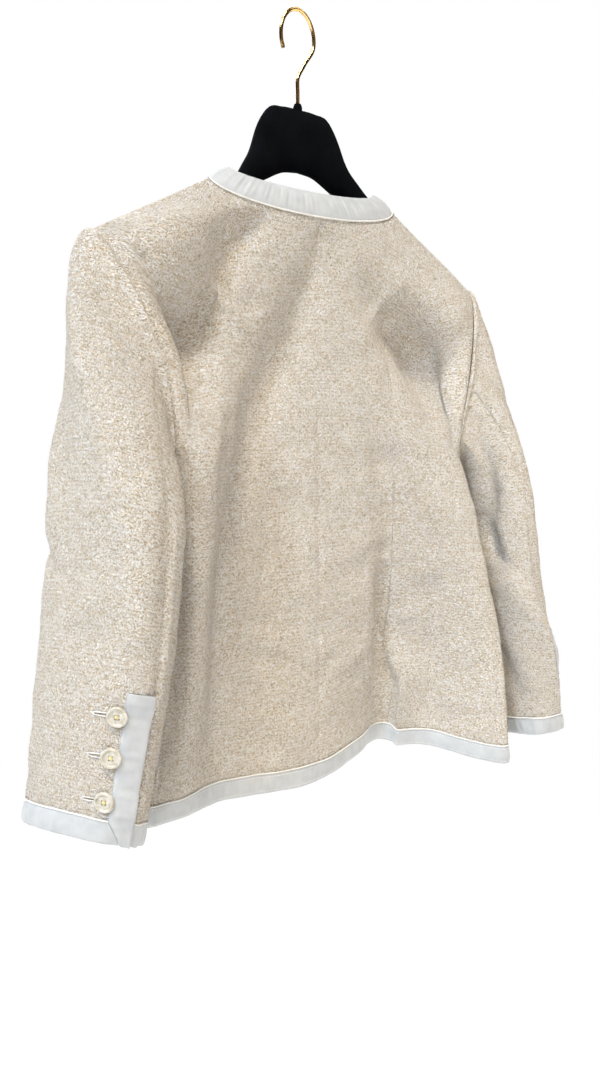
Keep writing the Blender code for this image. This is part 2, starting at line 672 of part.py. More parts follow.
def make_button(name, side, share, height):
    """Four-hole button that faces away from the sleeve."""
    down = down_above_cuff(side, share, height)
    points, outward = outer_grid(sleeve_point, side, [share], [down], -1)
    normal = outward[0, 0]
    seat = points[0, 0] + normal * BUTTON_STAND
    rim, dish = BUTTON_THICKNESS, BUTTON_THICKNESS - BUTTON_DISH
    profile = [(0, dish), (BUTTON_RADIUS - BUTTON_RIM, dish), (BUTTON_RADIUS - 0.7 * BUTTON_RIM, rim),
               (BUTTON_RADIUS - 0.25 * BUTTON_RIM, rim), (BUTTON_RADIUS, rim - 0.0008),
               (BUTTON_RADIUS, 0.0012), (BUTTON_RADIUS - 0.0025, 0.0), (0, 0)]
    button = finish(name, turned(profile, 18), RESIN)
    for k in range(4):
        angle = math.pi / 4 + k * math.pi / 2
        drill = [(0, rim + 0.001), (BUTTON_HOLE_RADIUS, rim + 0.001), (BUTTON_HOLE_RADIUS, -0.001), (0, -0.001)]
        cutter = finish(f"{name}_drill_{k}", turned(drill, 6), RESIN)
        cutter.location = (BUTTON_HOLE_CIRCLE * math.cos(angle), BUTTON_HOLE_CIRCLE * math.sin(angle), 0)
        cutter.hide_render = True
        cutter.display_type = "WIRE"
        cut = button.modifiers.new(f"hole_{k}", "BOOLEAN")
        cut.object = cutter
        cutter.parent = button
    upright = np.array([0.0, 0.0, 1.0])
    right = np.cross(upright, normal)
    right /= np.linalg.norm(right)
    up = np.cross(normal, right)
    turn = Matrix((right, up, normal)).transposed()
    button.matrix_world = Matrix.Translation(seat) @ turn.to_4x4()
    return button


# ---- Hanger ------------------------------------------------------------------------------------------------
def shoulder_z(side, x):
    way = (x - NECK_SEAM[0]) / (SHOULDER_TIP_X - NECK_SEAM[0])
    return NECK_SEAM[2] + (SHOULDER_TIP_Z[side] - NECK_SEAM[2]) * way


def hanger_rows(side):
    """Upright sections of one half of the hanger, from its middle to its tip."""
    rows = list(HANGER_HEAD)
    for way in steps(0, 1, HANGER_ARM_STEPS):
        x = HANGER_ARM_START + (HANGER_ARM_END - HANGER_ARM_START) * way
        height = HANGER_ARM_HEIGHT[0] + (HANGER_ARM_HEIGHT[1] - HANGER_ARM_HEIGHT[0]) * way
        depth = HANGER_ARM_DEPTH[0] + (HANGER_ARM_DEPTH[1] - HANGER_ARM_DEPTH[0]) * way
        clear = HANGER_CLEARANCE[0] + (HANGER_CLEARANCE[1] - HANGER_CLEARANCE[0]) * way
        top = shoulder_z(side, x) - TWEED_WALL - clear
        rows.append((x, top, top - height, depth))
    return rows


def hanger_ring(side, row, squareness=2.0, count=16):
    x, top, bottom, half_depth = row
    middle, half = (top + bottom) / 2, (top - bottom) / 2
    ring = []
    for k in range(count):
        angle = 2 * math.pi * k / count
        cos, sin = math.cos(angle), math.sin(angle)
        y = half_depth * math.copysign(abs(cos) ** (2 / squareness), cos)
        z = middle + half * math.copysign(abs(sin) ** (2 / squareness), sin)
        lean = HANGER_LEAN * ease((x - HANGER_LEAN_START) / (HANGER_ARM_START - HANGER_LEAN_START))
        ring.append((SIGN[side] * x, y + lean, z))
    return ring


def make_hanger():
    mesh = bmesh.new()
    rows = [("right", row) for row in reversed(hanger_rows("right"))]
    rows += [("left", row) for row in hanger_rows("left")[1:]]
    rings = [[mesh.verts.new(point) for point in hanger_ring(side, row)] for side, row in rows]
    for first, second in zip(rings, rings[1:]):
        for k in range(len(first)):
            n = (k + 1) % len(first)
            mesh.faces.new([first[k], first[n], second[n], second[k]])
    mesh.faces.new(rings[0])
    mesh.faces.new(rings[-1])
    body = finish("hanger_body", mesh, VELVET)

    low, top = HANGER_HEAD[0][1] - FERRULE_SUNK, HANGER_HEAD[0][1] + FERRULE_HEIGHT
    profile = [(0, top), (FERRULE_RADIUS * 0.8, top), (FERRULE_RADIUS, top - 0.0008),
               (FERRULE_RADIUS, low), (0, low)]
    ferrule = finish("hanger_ferrule", turned(profile, 16), VELVET)
    ferrule.parent = body
    ferrule.hide_render = True
    ferrule.display_type = "WIRE"
    joined = body.modifiers.new("ferrule", "BOOLEAN")
    joined.operation = "UNION"
    joined.object = ferrule
    make_hook(top + SEAM_GAP)


def make_hook(low):
    """Wire hook: a straight stem, a lean to one side and an oval bend over the rail."""
    centre_z = HOOK_WIRE_RADIUS - HOOK_HALF_HEIGHT
    route = [(0.0, low), (0.0, (low + HOOK_STRAIGHT_TOP) / 2), (0.0, HOOK_STRAIGHT_TOP),
             (-0.0075, -0.0440)]
    for degrees in range(190, -31, -20):
        angle = math.radians(degrees)
        route.append((HOOK_HALF_WIDTH * math.cos(angle), centre_z + HOOK_HALF_HEIGHT * math.sin(angle)))
    route = np.array(route)
    knots = np.concatenate([[0.0], np.cumsum(np.linalg.norm(np.diff(route, axis=0), axis=1))])
    places = np.linspace(0, knots[-1], 41)
    wire = bpy.data.curves.new("hanger_hook", "CURVE")
    wire.dimensions = "3D"
    wire.bevel_depth = HOOK_WIRE_RADIUS
    wire.bevel_resolution = 2
    wire.use_fill_caps = True
    spline = wire.splines.new("POLY")
    spline.points.add(len(places) - 1)
    for point, place in zip(spline.points, places):
        x, z = smooth(knots, route, place)
        point.co = (x, 0.0, z, 1.0)
    wire.materials.append(material("hanger_hook", BRASS))
    hook = bpy.data.objects.new("hanger_hook", wire)
    bpy.context.scene.collection.objects.link(hook)


def main():
    for old in list(bpy.data.objects):
        bpy.data.objects.remove(old, do_unlink=True)
    for side in SIGN:
        make_body(side)
        make_sleeve(side)
        share = HIND_SEAM - (VENT_WIDTH + BUTTON_FROM_BAND) / SLEEVE_GIRTH
        for number, height in enumerate(BUTTON_HEIGHTS, 1):
            make_button(f"button_{side}_{number}", side, share, height)
    make_hem_band()
    make_neck_band()
    make_hanger()


main()
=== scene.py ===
import math

import bmesh
import bpy
import numpy as np
from mathutils import Matrix


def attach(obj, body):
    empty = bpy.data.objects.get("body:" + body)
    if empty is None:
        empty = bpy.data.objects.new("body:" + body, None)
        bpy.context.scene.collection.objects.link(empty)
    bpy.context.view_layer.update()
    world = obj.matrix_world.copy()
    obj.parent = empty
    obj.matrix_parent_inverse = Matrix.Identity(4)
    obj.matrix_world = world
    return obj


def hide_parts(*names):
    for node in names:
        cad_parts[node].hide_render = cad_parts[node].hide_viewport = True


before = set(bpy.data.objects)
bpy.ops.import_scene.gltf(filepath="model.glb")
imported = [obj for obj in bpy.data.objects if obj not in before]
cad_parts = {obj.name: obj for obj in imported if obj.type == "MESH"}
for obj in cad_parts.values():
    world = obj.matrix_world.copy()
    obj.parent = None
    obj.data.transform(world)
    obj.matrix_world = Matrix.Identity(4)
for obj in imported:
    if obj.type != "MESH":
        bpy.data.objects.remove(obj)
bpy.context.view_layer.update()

# A cropped boucle tweed jacket on a flocked hanger. Metres, +Z up, back of the jacket at +Y,
# wearer's left at +X. Cloth is read from the same surfaces as the solids, then creased along listed paths.
# "share" runs round a piece from 0 to 1, "down" from 0 at its top over 1 at the chest to 2.
sideSign = {"left": 1.0, "right": -1.0}
cloth = {
    "wall": 0.0018, "bandWall": 0.0024, "seamGap": 0.0003, "bandWidth": 0.020,
    "halfGirth": 0.49, "sleeveGirth": 0.31,      # nominal lengths that a share of 1 stands for
    "upper": 0.20, "lower": 0.34,                # and that a down of 1 stands for on the body
    "grid": 0.00178,                             # spacing of the tweed's vertices: half a nub
    "nub": 0.00028, "unevenness": 0.0007, "seamSink": 0.0006, "seamReach": 0.0026,
    "beside": (0.0, 0.0007, 0.0016), "clear": 0.0030,      # columns close to a seam, and the first even one
    "inner": 3,                                  # the inner face has every third row and column
}
halfGap, halfGirth, sleeveGirth = cloth["seamGap"] / 2, cloth["halfGirth"], cloth["sleeveGirth"]
bandWidth = cloth["bandWidth"]


# Curves and tables
def unit(vectors):
    return vectors / np.maximum(np.linalg.norm(vectors, axis=-1, keepdims=True), 1e-12)


def ease(value):
    value = np.clip(value, 0.0, 1.0)
    return value * value * (3 - 2 * value)


def mix(a, b, way):
    return a + (b - a) * way


def bulge(value, power):
    # squarer or rounder than the sine or cosine given
    return np.sign(value) * np.abs(value) ** power


def bend(u, start, leaving, end, arriving):
    return ((1 + 2 * u) * (1 - u) ** 2 * start + u * (1 - u) ** 2 * leaving
            + u * u * (3 - 2 * u) * end + u * u * (u - 1) * arriving)


def smoothAt(knots, values, at):
    knots, values, at = (np.asarray(given, float) for given in (knots, values, at))
    slopes = np.gradient(values, knots, axis=0)
    at = np.clip(at, knots[0], knots[-1])
    i = np.clip(np.searchsorted(knots, at, side="right") - 1, 0, len(knots) - 2)
    span = (knots[i + 1] - knots[i])[..., None]
    return bend((at - knots[i])[..., None] / span, values[i], span * slopes[i], values[i + 1], span * slopes[i + 1])


def rowsAt(rows, at):
    rows = np.asarray(rows, float)
    return smoothAt(rows[:, 0], rows[:, 1:], at)


def runOf(points, axis=0):
    # the distance run along a line, or along each column or row of a grid
    steps = np.linalg.norm(np.diff(points, axis=axis), axis=-1)
    return np.concatenate([np.zeros_like(steps.take([0], axis)), np.cumsum(steps, axis)], axis)


def evenly(line, count, used=3):
    # the same line with points at equal steps
    run = runOf(line[:, :used])
    return np.stack([np.interp(np.linspace(0, run[-1], count), run, values) for values in line.T], 1)


def fromTable(table, low, high, z, share):
    # table[level, share, value], read between its levels and shares
    rows, columns = table.shape[:2]
    i = np.clip((z - low) / (high - low), 0, 1) * (rows - 1)
    j = np.clip(share, 0, 1) * (columns - 1)
    i0, j0 = np.minimum(i.astype(int), rows - 2), np.minimum(j.astype(int), columns - 2)
    fi, fj = (i - i0)[..., None], (j - j0)[..., None]
    return ((table[i0, j0] * (1 - fj) + table[i0, j0 + 1] * fj) * (1 - fi)
            + (table[i0 + 1, j0] * (1 - fj) + table[i0 + 1, j0 + 1] * fj) * fi)


# The body's surface
bodyCut = {
    "princess": 0.18, "backNotch": 0.37, "frontNotch": 0.62,
    "frontEdge": 1.0 - 0.0006 / halfGirth, "frontBand": 1.0 - bandWidth / halfGirth,
    "backChest": -0.390, "frontChest": -0.378, "underarmDip": 0.045,
    "hem": {    # share, z
        "left": [(0, -0.7255), (0.22, -0.725), (0.32, -0.724), (0.4, -0.728), (0.7, -0.732), (1, -0.732)],
        "right": [(0, -0.7255), (0.2, -0.7275), (0.4, -0.74), (0.7, -0.742), (1, -0.732)],
    },
    "sections": {    # in mm: z, back, tuck x and y, blade x and y, side x and y, breast x and y, front
        "left": [(-745, 33, 105, 28, 182, 22, 202, -35, 150, -100, -88),
                 (-600, 33, 100, 28, 156, 42, 184, -25, 148, -94, -83),
                 (-500, 33, 92, 30, 146, 52, 176, -25, 148, -90, -80),
                 (-390, 33, 85, 37, 156, 72, 182, 0, 150, -80, -78)],
        "right": [(-745, 33, 134, -6, 217, 96, 249, 35, 185, -95, -88),
                  (-600, 33, 112, 20, 204, 86, 226, 20, 172, -92, -83),
                  (-500, 33, 95, 34, 183, 76, 199, 4, 158, -90, -80),
                  (-390, 33, 85, 42, 158, 66, 187, 2, 150, -80, -78)],
    },
    # large folds, as in the solids, in mm: top z and across, low z and across, half width, height
    "folds": [(-200, 85, -600, 125, 22, 7), (-270, 30, -740, 85, 26, -6), (-450, 20, -740, 20, 30, 4),
              (-250, -105, -360, -150, 22, -7), (-300, -50, -600, -60, 30, 4), (-600, -96, -800, -100, 18, 17)],
    "tip": (0.2116, 0.0125), "tipZ": {"left": -0.2175, "right": -0.2300},
    "armholeHollow": {"left": 1.8, "right": 1.2}, "round": (0.060, 0.170), "neckBlend": 0.020,
    # half width, shoulder y and z, back y and z, front y and z
    "neckEdge": (0.082, 0.0120, -0.1490, 0.0270, -0.1620, -0.0700, -0.2370),
    "neckSeam": (0.104, 0.0150, -0.1625, 0.0345, -0.1855, -0.0780, -0.2580),
    "tableZ": (-0.760, -0.370), "fade": (0.016, 0.024),      # creases die out this near the armhole and the neck
}
backNotch, frontNotch = bodyCut["backNotch"], bodyCut["frontNotch"]
# creases of the body, in mm: half width, height, how much wider the other flank is, then a path of
# places (across, z); across is signed and runs round from the middle of the back
bodyCreases = [
    # back, wearer's left: two hollows under the padded shoulder, the roll above them, the long
    # diagonal trough and the ridge beside it
    (44, -52, 1.0, 90, -262, 124, -288, 156, -308, 206, -322),
    (18, -15, 1.0, 46, -164, 76, -202, 100, -244, 116, -290),
    (16, 10, 1.0, 96, -190, 142, -210, 190, -234),
    (18, -9, 1.0, -2, -225, 20, -295, 34, -350),
    (18, -16.5, 1.6, -4, -205, 18, -250, 36, -300, 58, -350, 92, -435, 114, -520, 114, -620, 108, -780),
    (15, 8.5, 1.3, 70, -220, 98, -290, 128, -360, 150, -400, 152, -460, 150, -540, 148, -680),
    (6, -2, 1.4, 118, -552, 70, -556, 24, -565),
    (8, -2.4, 1.5, 118, -572, 60, -592, 0, -615),
    (9, 2, 1.2, 100, -640, 55, -655, 10, -690),
    (12, -5.5, 1.0, 178, -452, 168, -540, 170, -640, 172, -760),
    # back, wearer's right: hollow under the shoulder, side folds and the valley at the hem
    (34, -41, 1.0, -72, -256, -112, -290, -146, -330, -168, -380),
    (18, 3, 1.2, -30, -230, -46, -300, -60, -360),
    (14, 4, 1.2, -96, -330, -112, -400, -118, -500),
    (9, -1, 1.4, -15, -407, -60, -404, -116, -409),
    (12, -3.6, 1.4, -45, -300, -72, -400, -82, -500, -80, -590),
    (11, -18.5, 1.0, -78, -500, -84, -640, -86, -800),
    (16, 4.2, 1.2, -150, -400, -155, -500, -165, -600, -180, -700),
    (10, -3.4, 1.2, -120, -520, -128, -620, -140, -760),
    # fronts: drag from the neck to the chest, a long soft fold each side and short ones at the waist
    (18, -4.5, 1.3, 400, -260, 365, -330, 350, -410, 352, -520, 360, -620),
    (16, 3.5, 1.4, 452, -300, 440, -420, 430, -560, 425, -760),
    (13, 4, 1.0, 300, -470, 318, -560, 322, -660, 325, -760),
    (12, -4, 1.2, 345, -300, 330, -350, 322, -400),
    (6, -1.4, 1.4, 470, -540, 420, -556, 370, -560),
    (17, -4.2, 1.3, -405, -265, -372, -340, -352, -430, -362, -540, -368, -600),
    (15, 3.8, 1.2, -448, -320, -432, -440, -428, -570, -435, -760),
    (14, 4.4, 1.0, -305, -440, -322, -540, -318, -660, -310, -760),
    (12, -3.5, 1.2, -340, -295, -328, -345, -320, -392),
    (6, -1.3, 1.4, -372, -585, -420, -575, -466, -590),
    # under the arms
    (14, -3.6, 1.0, 235, -440, 238, -540, 240, -760),
    (12, 3, 1.0, 268, -460, 272, -580, 268, -760),
    (14, -3.6, 1.0, -238, -440, -232, -560, -226, -760),
    (12, 3.4, 1.0, -270, -450, -262, -560, -260, -760),
]


def makeBodyTable(side):
    table = []
    for back, tuckX, tuckY, bladeX, bladeY, sideX, sideY, breastX, breastY, front in rowsAt(
            np.array(bodyCut["sections"][side]) / 1000, np.linspace(*bodyCut["tableZ"], 80)):
        stations = np.array([(-tuckX, tuckY), (0, back), (tuckX, tuckY), (bladeX, bladeY), (sideX, sideY),
                             (breastX, breastY), (0, front), (-breastX, breastY)])
        knots = runOf(stations)
        table.append(evenly(smoothAt(knots, stations, np.linspace(knots[1], knots[-2], 700)), 501))
    table = np.array(table)
    step = np.gradient(table, axis=1)
    step[:, 0, 1] = step[:, -1, 1] = 0.0           # square to the middle, so both halves meet
    return np.concatenate([table, unit(np.stack([-step[..., 1], step[..., 0]], -1))], 2)


bodyTables = {side: makeBodyTable(side) for side in sideSign}


def bodySection(side, share, z):
    read = fromTable(bodyTables[side], *bodyCut["tableZ"], z, share)
    return read[..., :2], read[..., 2:]


def foldHeight(side, share, z):
    across = sideSign[side] * share * halfGirth
    height = np.zeros(np.shape(across))
    for fold in bodyCut["folds"]:
        topZ, topAcross, lowZ, lowAcross, halfWidth, tall = np.array(fold) / 1000
        centre = mix(topAcross, lowAcross, np.clip((topZ - z) / (topZ - lowZ), 0, 1))
        fade = ease((topZ - z) / 0.06) * ease((z - lowZ) / 0.06 + 1.0)
        height = height + tall * fade * np.exp(-((across - centre) / halfWidth) ** 2)
    return height


def chestZ(share):
    way = np.clip((share - backNotch) / (frontNotch - backNotch), 0, 1)
    return mix(bodyCut["backChest"], bodyCut["frontChest"], way) - bodyCut["underarmDip"] * np.sin(np.pi * way)


def hemZ(side, share):
    return rowsAt(bodyCut["hem"][side], share)[..., 0]


def topEdge(side, share):
    # the neck's seam, then the shoulder's
    isBack = share <= backNotch
    reach = np.where(isBack, share / backNotch, (1 - share) / (1 - frontNotch))
    place = bodySection(side, share, chestZ(share))[0]
    notchX = [bodySection(side, np.array(at), chestZ(np.array(at)))[0][0] for at in (backNotch, frontNotch)]
    (tipX, tipY), tipZ = bodyCut["tip"], bodyCut["tipZ"][side]
    x = np.maximum(place[..., 0] + (tipX - np.where(isBack, *notchX)) * np.abs(reach) ** 3, 0)
    neckX, neckY, neckZ, backY, backZ, frontY, frontZ = bodyCut["neckSeam"]
    swing = np.sqrt(np.clip(1 - (x / neckX) ** 2, 0, 1))
    way = np.clip((x - neckX) / (tipX - neckX), 0, None)
    y = np.where(x < neckX, mix(neckY, np.where(isBack, backY, frontY), swing),
                 mix(neckY, tipY, way) + np.where(isBack, halfGap, -halfGap))
    z = np.where(x < neckX, mix(neckZ, np.where(isBack, backZ, frontZ), swing), mix(neckZ, tipZ, way))
    return x, y, z, way


def bodyBase(side, share, down):
    share, down = np.broadcast_arrays(np.asarray(share, float), np.asarray(down, float))
    chest = chestZ(share)
    low = down >= 1
    topX, topY, topZ, way = topEdge(side, share)
    z = np.where(low, mix(chest, hemZ(side, share), down - 1), mix(topZ, chest, down))
    place, outward = bodySection(side, share, np.where(low, z, chest))
    place = place + outward * foldHeight(side, share, z)[..., None]
    drop = mix(*bodyCut["round"], np.minimum(share / backNotch, (1 - share) / (1 - frontNotch)))
    rounded = (1 - (1 - np.clip((topZ - z) / drop, 0, 1)) ** 2) ** (1 / (1 + way))
    x = mix(place[..., 0], topX, np.clip(1 - down, 0, 1) ** bodyCut["armholeHollow"][side])
    y = np.where(low, place[..., 1], mix(topY, place[..., 1], rounded))
    # the front is one smooth sweep, from which the neck is cut
    neckX, neckY, neckZ = bodyCut["neckSeam"][:3]

    def sweep(at):
        return mix(neckY, place[..., 1], 1 - (1 - np.clip((neckZ - at) / drop, 0, 1)) ** 2)

    cut = sweep(z) + (topY - sweep(topZ)) * np.exp(-np.clip(topZ - z, 0, None) / bodyCut["neckBlend"])
    y = np.where((share > frontNotch) & (topX < neckX) & ~low, cut, y)
    return np.stack([sideSign[side] * x, y, z], -1)


def creaseHeight(creases, across, z):
    height = np.zeros(across.shape)
    for halfWidth, tall, flank, *path in creases:
        halfWidth, tall, path = halfWidth / 1000, tall / 1000, np.reshape(path, (-1, 2)) / 1000
        lengths = np.linalg.norm(np.diff(path, axis=0), axis=1)
        lo, hi = path.min(0) - 4 * halfWidth * flank, path.max(0) + 4 * halfWidth * flank
        near = (across > lo[0]) & (across < hi[0]) & (z > lo[1]) & (z < hi[1])
        if not near.any():
            continue
        a, b = across[near], z[near]
        best, run, turn = np.full(a.shape, 9.0), np.zeros(a.shape), np.zeros(a.shape)
        for k, length in enumerate(lengths):
            way = (path[k + 1] - path[k]) / length
            t = np.clip((a - path[k, 0]) * way[0] + (b - path[k, 1]) * way[1], 0, length)
            dx, dz = a - path[k, 0] - way[0] * t, b - path[k, 1] - way[1] * t
            closer = np.hypot(dx, dz) < best
            best = np.where(closer, np.hypot(dx, dz), best)
            run = np.where(closer, lengths[:k].sum() + t, run)
            turn = np.where(closer, way[0] * dz - way[1] * dx, turn)
        spread = halfWidth * np.where(turn > 0, flank, 1.0) * (0.8 + 0.4 * run / lengths.sum())
        taper = np.sin(np.pi * np.clip(run / lengths.sum(), 0.04, 0.96)) ** 0.7
        height[near] += tall * taper * np.exp(-(best / spread) ** 2)
    return height


def unevenness(across, z, seed):
    # the cloth's own slight waviness, from 20 to 70 mm long
    waves = np.random.default_rng(seed)
    height = np.zeros(across.shape)
    for _ in range(14):
        angle, length, phase = waves.uniform(0, 2 * np.pi), waves.uniform(0.020, 0.070), waves.uniform(0, 2 * np.pi)
        height += np.sin((across * np.cos(angle) + z * np.sin(angle)) * 2 * np.pi / length + phase) * length / 0.07
    return cloth["unevenness"] * (height / 3.0)


def bodyLift(side, share, down):
    z = bodyBase(side, share, down)[..., 2]
    share, down = np.broadcast_arrays(share, down)
    across = sideSign[side] * share * halfGirth
    lift = creaseHeight(bodyCreases, across, z) + unevenness(across, z, 11)
    isBack, isFront = share < backNotch, share > frontNotch
    toArm = np.where(isBack, backNotch - share, np.where(isFront, share - frontNotch, 0)) * halfGirth
    toArm = np.hypot(toArm, np.clip(down - 1, 0, 1) * cloth["lower"])
    toNeck = np.where(isBack | isFront, np.clip(down, 0, 1) * cloth["upper"], 1.0)
    return lift * ease(toArm / bodyCut["fade"][0]) * ease(toNeck / bodyCut["fade"][1])


# The sleeves' surface
sleeveCut = {
    "rows": {    # in mm: z, x, y, half wide, half thin; turn in degrees
        "left": [(-740, 250, 32, 56, 30, 27), (-640, 237, 41, 58, 34, 24),
                 (-560, 226.5, 47, 61, 36, 22), (-460, 215, 51, 63, 37, 18)],
        "right": [(-740, 291, 52, 54, 32, 14), (-640, 273.5, 47, 58, 34, 14),
                  (-560, 255, 39, 61, 35, 14), (-460, 237, 30, 63, 37, 12)],
    },
    "headZ": -0.460, "cuffZ": {"left": -0.705, "right": -0.7275},
    "cuffSlope": {"left": (0.03, 0.45), "right": (0.18, 0.04)}, "swing": {"left": -0.020, "right": -0.100},
    # how far the sleeve's head rolls over the armhole, by share of its round; where it is fullest, and half width
    "roll": {"left": [(0.0, 0.0011), (0.06, 0.0026), (0.14, 0.0058), (0.22, 0.0050), (0.34, 0.0012), (1.0, 0.0011)],
             "right": [(0.0, 0.0011), (0.08, 0.0026), (0.18, 0.0040), (0.30, 0.0012), (1.0, 0.0011)]},
    "rollDown": (0.055, 0.050),
    "seamRoll": (0.0028, 0.0062, 0.0042),      # height, distance from the hind seam and half width
    "squareness": 2.5, "headOut": 0.33, "headDown": 1.25, "gap": 0.00012, "seed": {"left": 5, "right": 6},
    "hindSeam": 0.235, "foreSeam": 0.780, "ventLength": 0.124, "ventWidth": 0.021, "mitre": 0.6,
    "tableZ": (-0.800, -0.440),
    # columns of the top sleeve: before the line above the vent's edge, then after it and before its seam
    "beforeVent": (0.0034, 0.0017, 0.0004), "stripEnds": (0.0012, 0.0014),
}
headZ, hind, fore = sleeveCut["headZ"], sleeveCut["hindSeam"], sleeveCut["foreSeam"]
# creases of the sleeves, as on the body; across runs round from the top
sleeveCreases = {
    "left": [
        (8, -4, 1.3, 4, -248, 22, -272, 43, -305, 56, -335),
        (13, 6.6, 1.8, -4, -275, 10, -330, 24, -372, 44, -432, 58, -490, 62, -560),
        (14, -4, 1.5, -30, -300, -22, -380, -10, -460, 4, -540),
        (10, -3.7, 1.2, 76, -400, 70, -470, 72, -540),
        (9, -2.5, 1.3, 40, -505, 10, -530, -25, -540),
        (8, 2.2, 1.2, 30, -570, 0, -600, -30, -612),
        (11, 4, 1.2, -60, -330, -50, -400, -52, -470),
        (8, -3.7, 1.2, -75, -455, -40, -480, -10, -486),
        (9, -5, 1.2, 100, -470, 130, -490, 170, -498),
        (8, -3.4, 1.2, 120, -530, 150, -520, 190, -512),
        (12, -5.3, 1.0, 140, -400, 150, -460, 148, -540),
        (10, 3.7, 1.0, 200, -470, 195, -560, 200, -650),
    ],
    "right": [
        (7, -5.6, 1.4, 40, -262, 46, -300, 49, -340),
        (10, -14, 1.2, 76, -350, 92, -395, 106, -452, 119, -495, 122, -530),
        (10, -12, 1.1, 122, -478, 112, -508, 96, -540),
        (11, 6.5, 1.4, 116, -488, 96, -545, 74, -606, 58, -660),
        (12, 4.7, 1.4, 60, -330, 64, -400, 70, -470, 72, -540),
        (13, -3.7, 1.3, 14, -330, 22, -420, 18, -510),
        (8, -2.5, 1.3, 50, -580, 20, -598, -14, -602),
        (11, -4.3, 1.2, -60, -340, -50, -420, -54, -500),
        (8, -3.4, 1.2, -75, -470, -40, -492, -8, -498),
        (12, -5.6, 1.0, 150, -410, 158, -480, 150, -560),
        (9, -4, 1.1, 190, -500, 205, -540, 225, -560),
        (10, -2.5, 1.0, 140, -600, 135, -650, 130, -700),
    ],
}


def makeSleeveTable(side):
    angles, power, table = np.linspace(0, 2 * np.pi, 721), 2 / sleeveCut["squareness"], []
    rows = np.array(sleeveCut["rows"][side]) / [1000, 1000, 1000, 1000, 1000, 1]
    for x, y, halfWide, halfThin, turn in rowsAt(rows, np.linspace(*sleeveCut["tableZ"], 60)):
        thin, wide = halfThin * bulge(np.cos(angles), power), halfWide * bulge(np.sin(angles), power)
        cos, sin = math.cos(math.radians(turn)), math.sin(math.radians(turn))
        line = np.stack([x + thin * cos - wide * sin, y + thin * sin + wide * cos, wide, thin], 1)
        table.append(evenly(line, 501, 2))
    return np.array(table)


def makeArmhole(side):
    downs = 0.999 * np.linspace(0, 1, 90) ** 1.6
    return evenly(np.concatenate([
        bodyBase(side, backNotch, downs), bodyBase(side, np.linspace(backNotch, frontNotch, 60)[1:-1], 1.0),
        bodyBase(side, frontNotch, downs[::-1])]), 601)


sleeveTables = {side: makeSleeveTable(side) for side in sideSign}
armholes = {side: makeArmhole(side) for side in sideSign}


def sleeveLevel(side, share, z):
    z = np.broadcast_to(z, np.shape(share))
    fallen = np.clip((headZ - z) / (headZ - sleeveCut["cuffZ"][side]), 0, None)
    swung = (share + sleeveCut["swing"][side] * fallen ** 2) % 1.0
    read = fromTable(sleeveTables[side], *sleeveCut["tableZ"], z, swung)
    return np.stack([sideSign[side] * read[..., 0], read[..., 1], z], -1), read[..., 2:]


def cuffZ(side, share):
    level = sleeveCut["cuffZ"][side]
    return level + sleeveLevel(side, share, level)[1] @ np.array(sleeveCut["cuffSlope"][side])


def sleeveBase(side, share, down):
    share, down = np.broadcast_arrays(np.asarray(share, float), np.asarray(down, float))
    low = sleeveLevel(side, share, mix(headZ, cuffZ(side, share), np.clip(down - 1, 0, None)))[0]
    ring = armholes[side]
    at = (share % 1.0) * (len(ring) - 1)
    start = np.stack([np.interp(at, np.arange(len(ring)), values) for values in ring.T], -1)
    end, below = sleeveLevel(side, share, headZ)[0], sleeveLevel(side, share, headZ - 0.02)[0]
    length = np.linalg.norm(end - start, axis=-1)[..., None]
    out = np.array([sideSign[side], 0.0, 0.0]) * sleeveCut["headOut"] * length
    begin = sleeveCut["gap"] / sleeveCut["headOut"] / length
    u = begin + np.clip(down, 0, 1)[..., None] * (1 - begin)
    head = bend(u, start, out, end, unit(below - end) * sleeveCut["headDown"] * length)
    return np.where((down >= 1)[..., None], low, head)


def sleeveLift(side, share, down):
    z = sleeveBase(side, share, down)[..., 2]
    share, down = np.broadcast_arrays(share, down)
    share = (share - fore) % 1.0 + fore - 1.0
    around = share * sleeveGirth
    lift = sum(creaseHeight(sleeveCreases[side], around + turn * sleeveGirth, z) for turn in (-1, 0, 1))
    lift = (lift + unevenness(around * 0.9, z, sleeveCut["seed"][side])) * ease(down / 0.12)
    # the under sleeve rolls over its seam allowance along the hind seam
    tall, away, halfWidth = sleeveCut["seamRoll"]
    lift = lift + tall * np.exp(-((around - hind * sleeveGirth - away) / halfWidth) ** 2) * ease((-z - 0.40) / 0.10)
    # the seam allowance lifts the head of the sleeve a little beside the armhole
    roll = np.interp(share % 1.0, *np.array(sleeveCut["roll"][side]).T)
    fullest, halfWidth = sleeveCut["rollDown"]
    return lift + roll * np.exp(-((down - fullest) / halfWidth) ** 2)


def cuffDown(side, share, height):
    # the value of down at a height above the cuff's edge
    return 2 - height / (headZ - cuffZ(side, share))


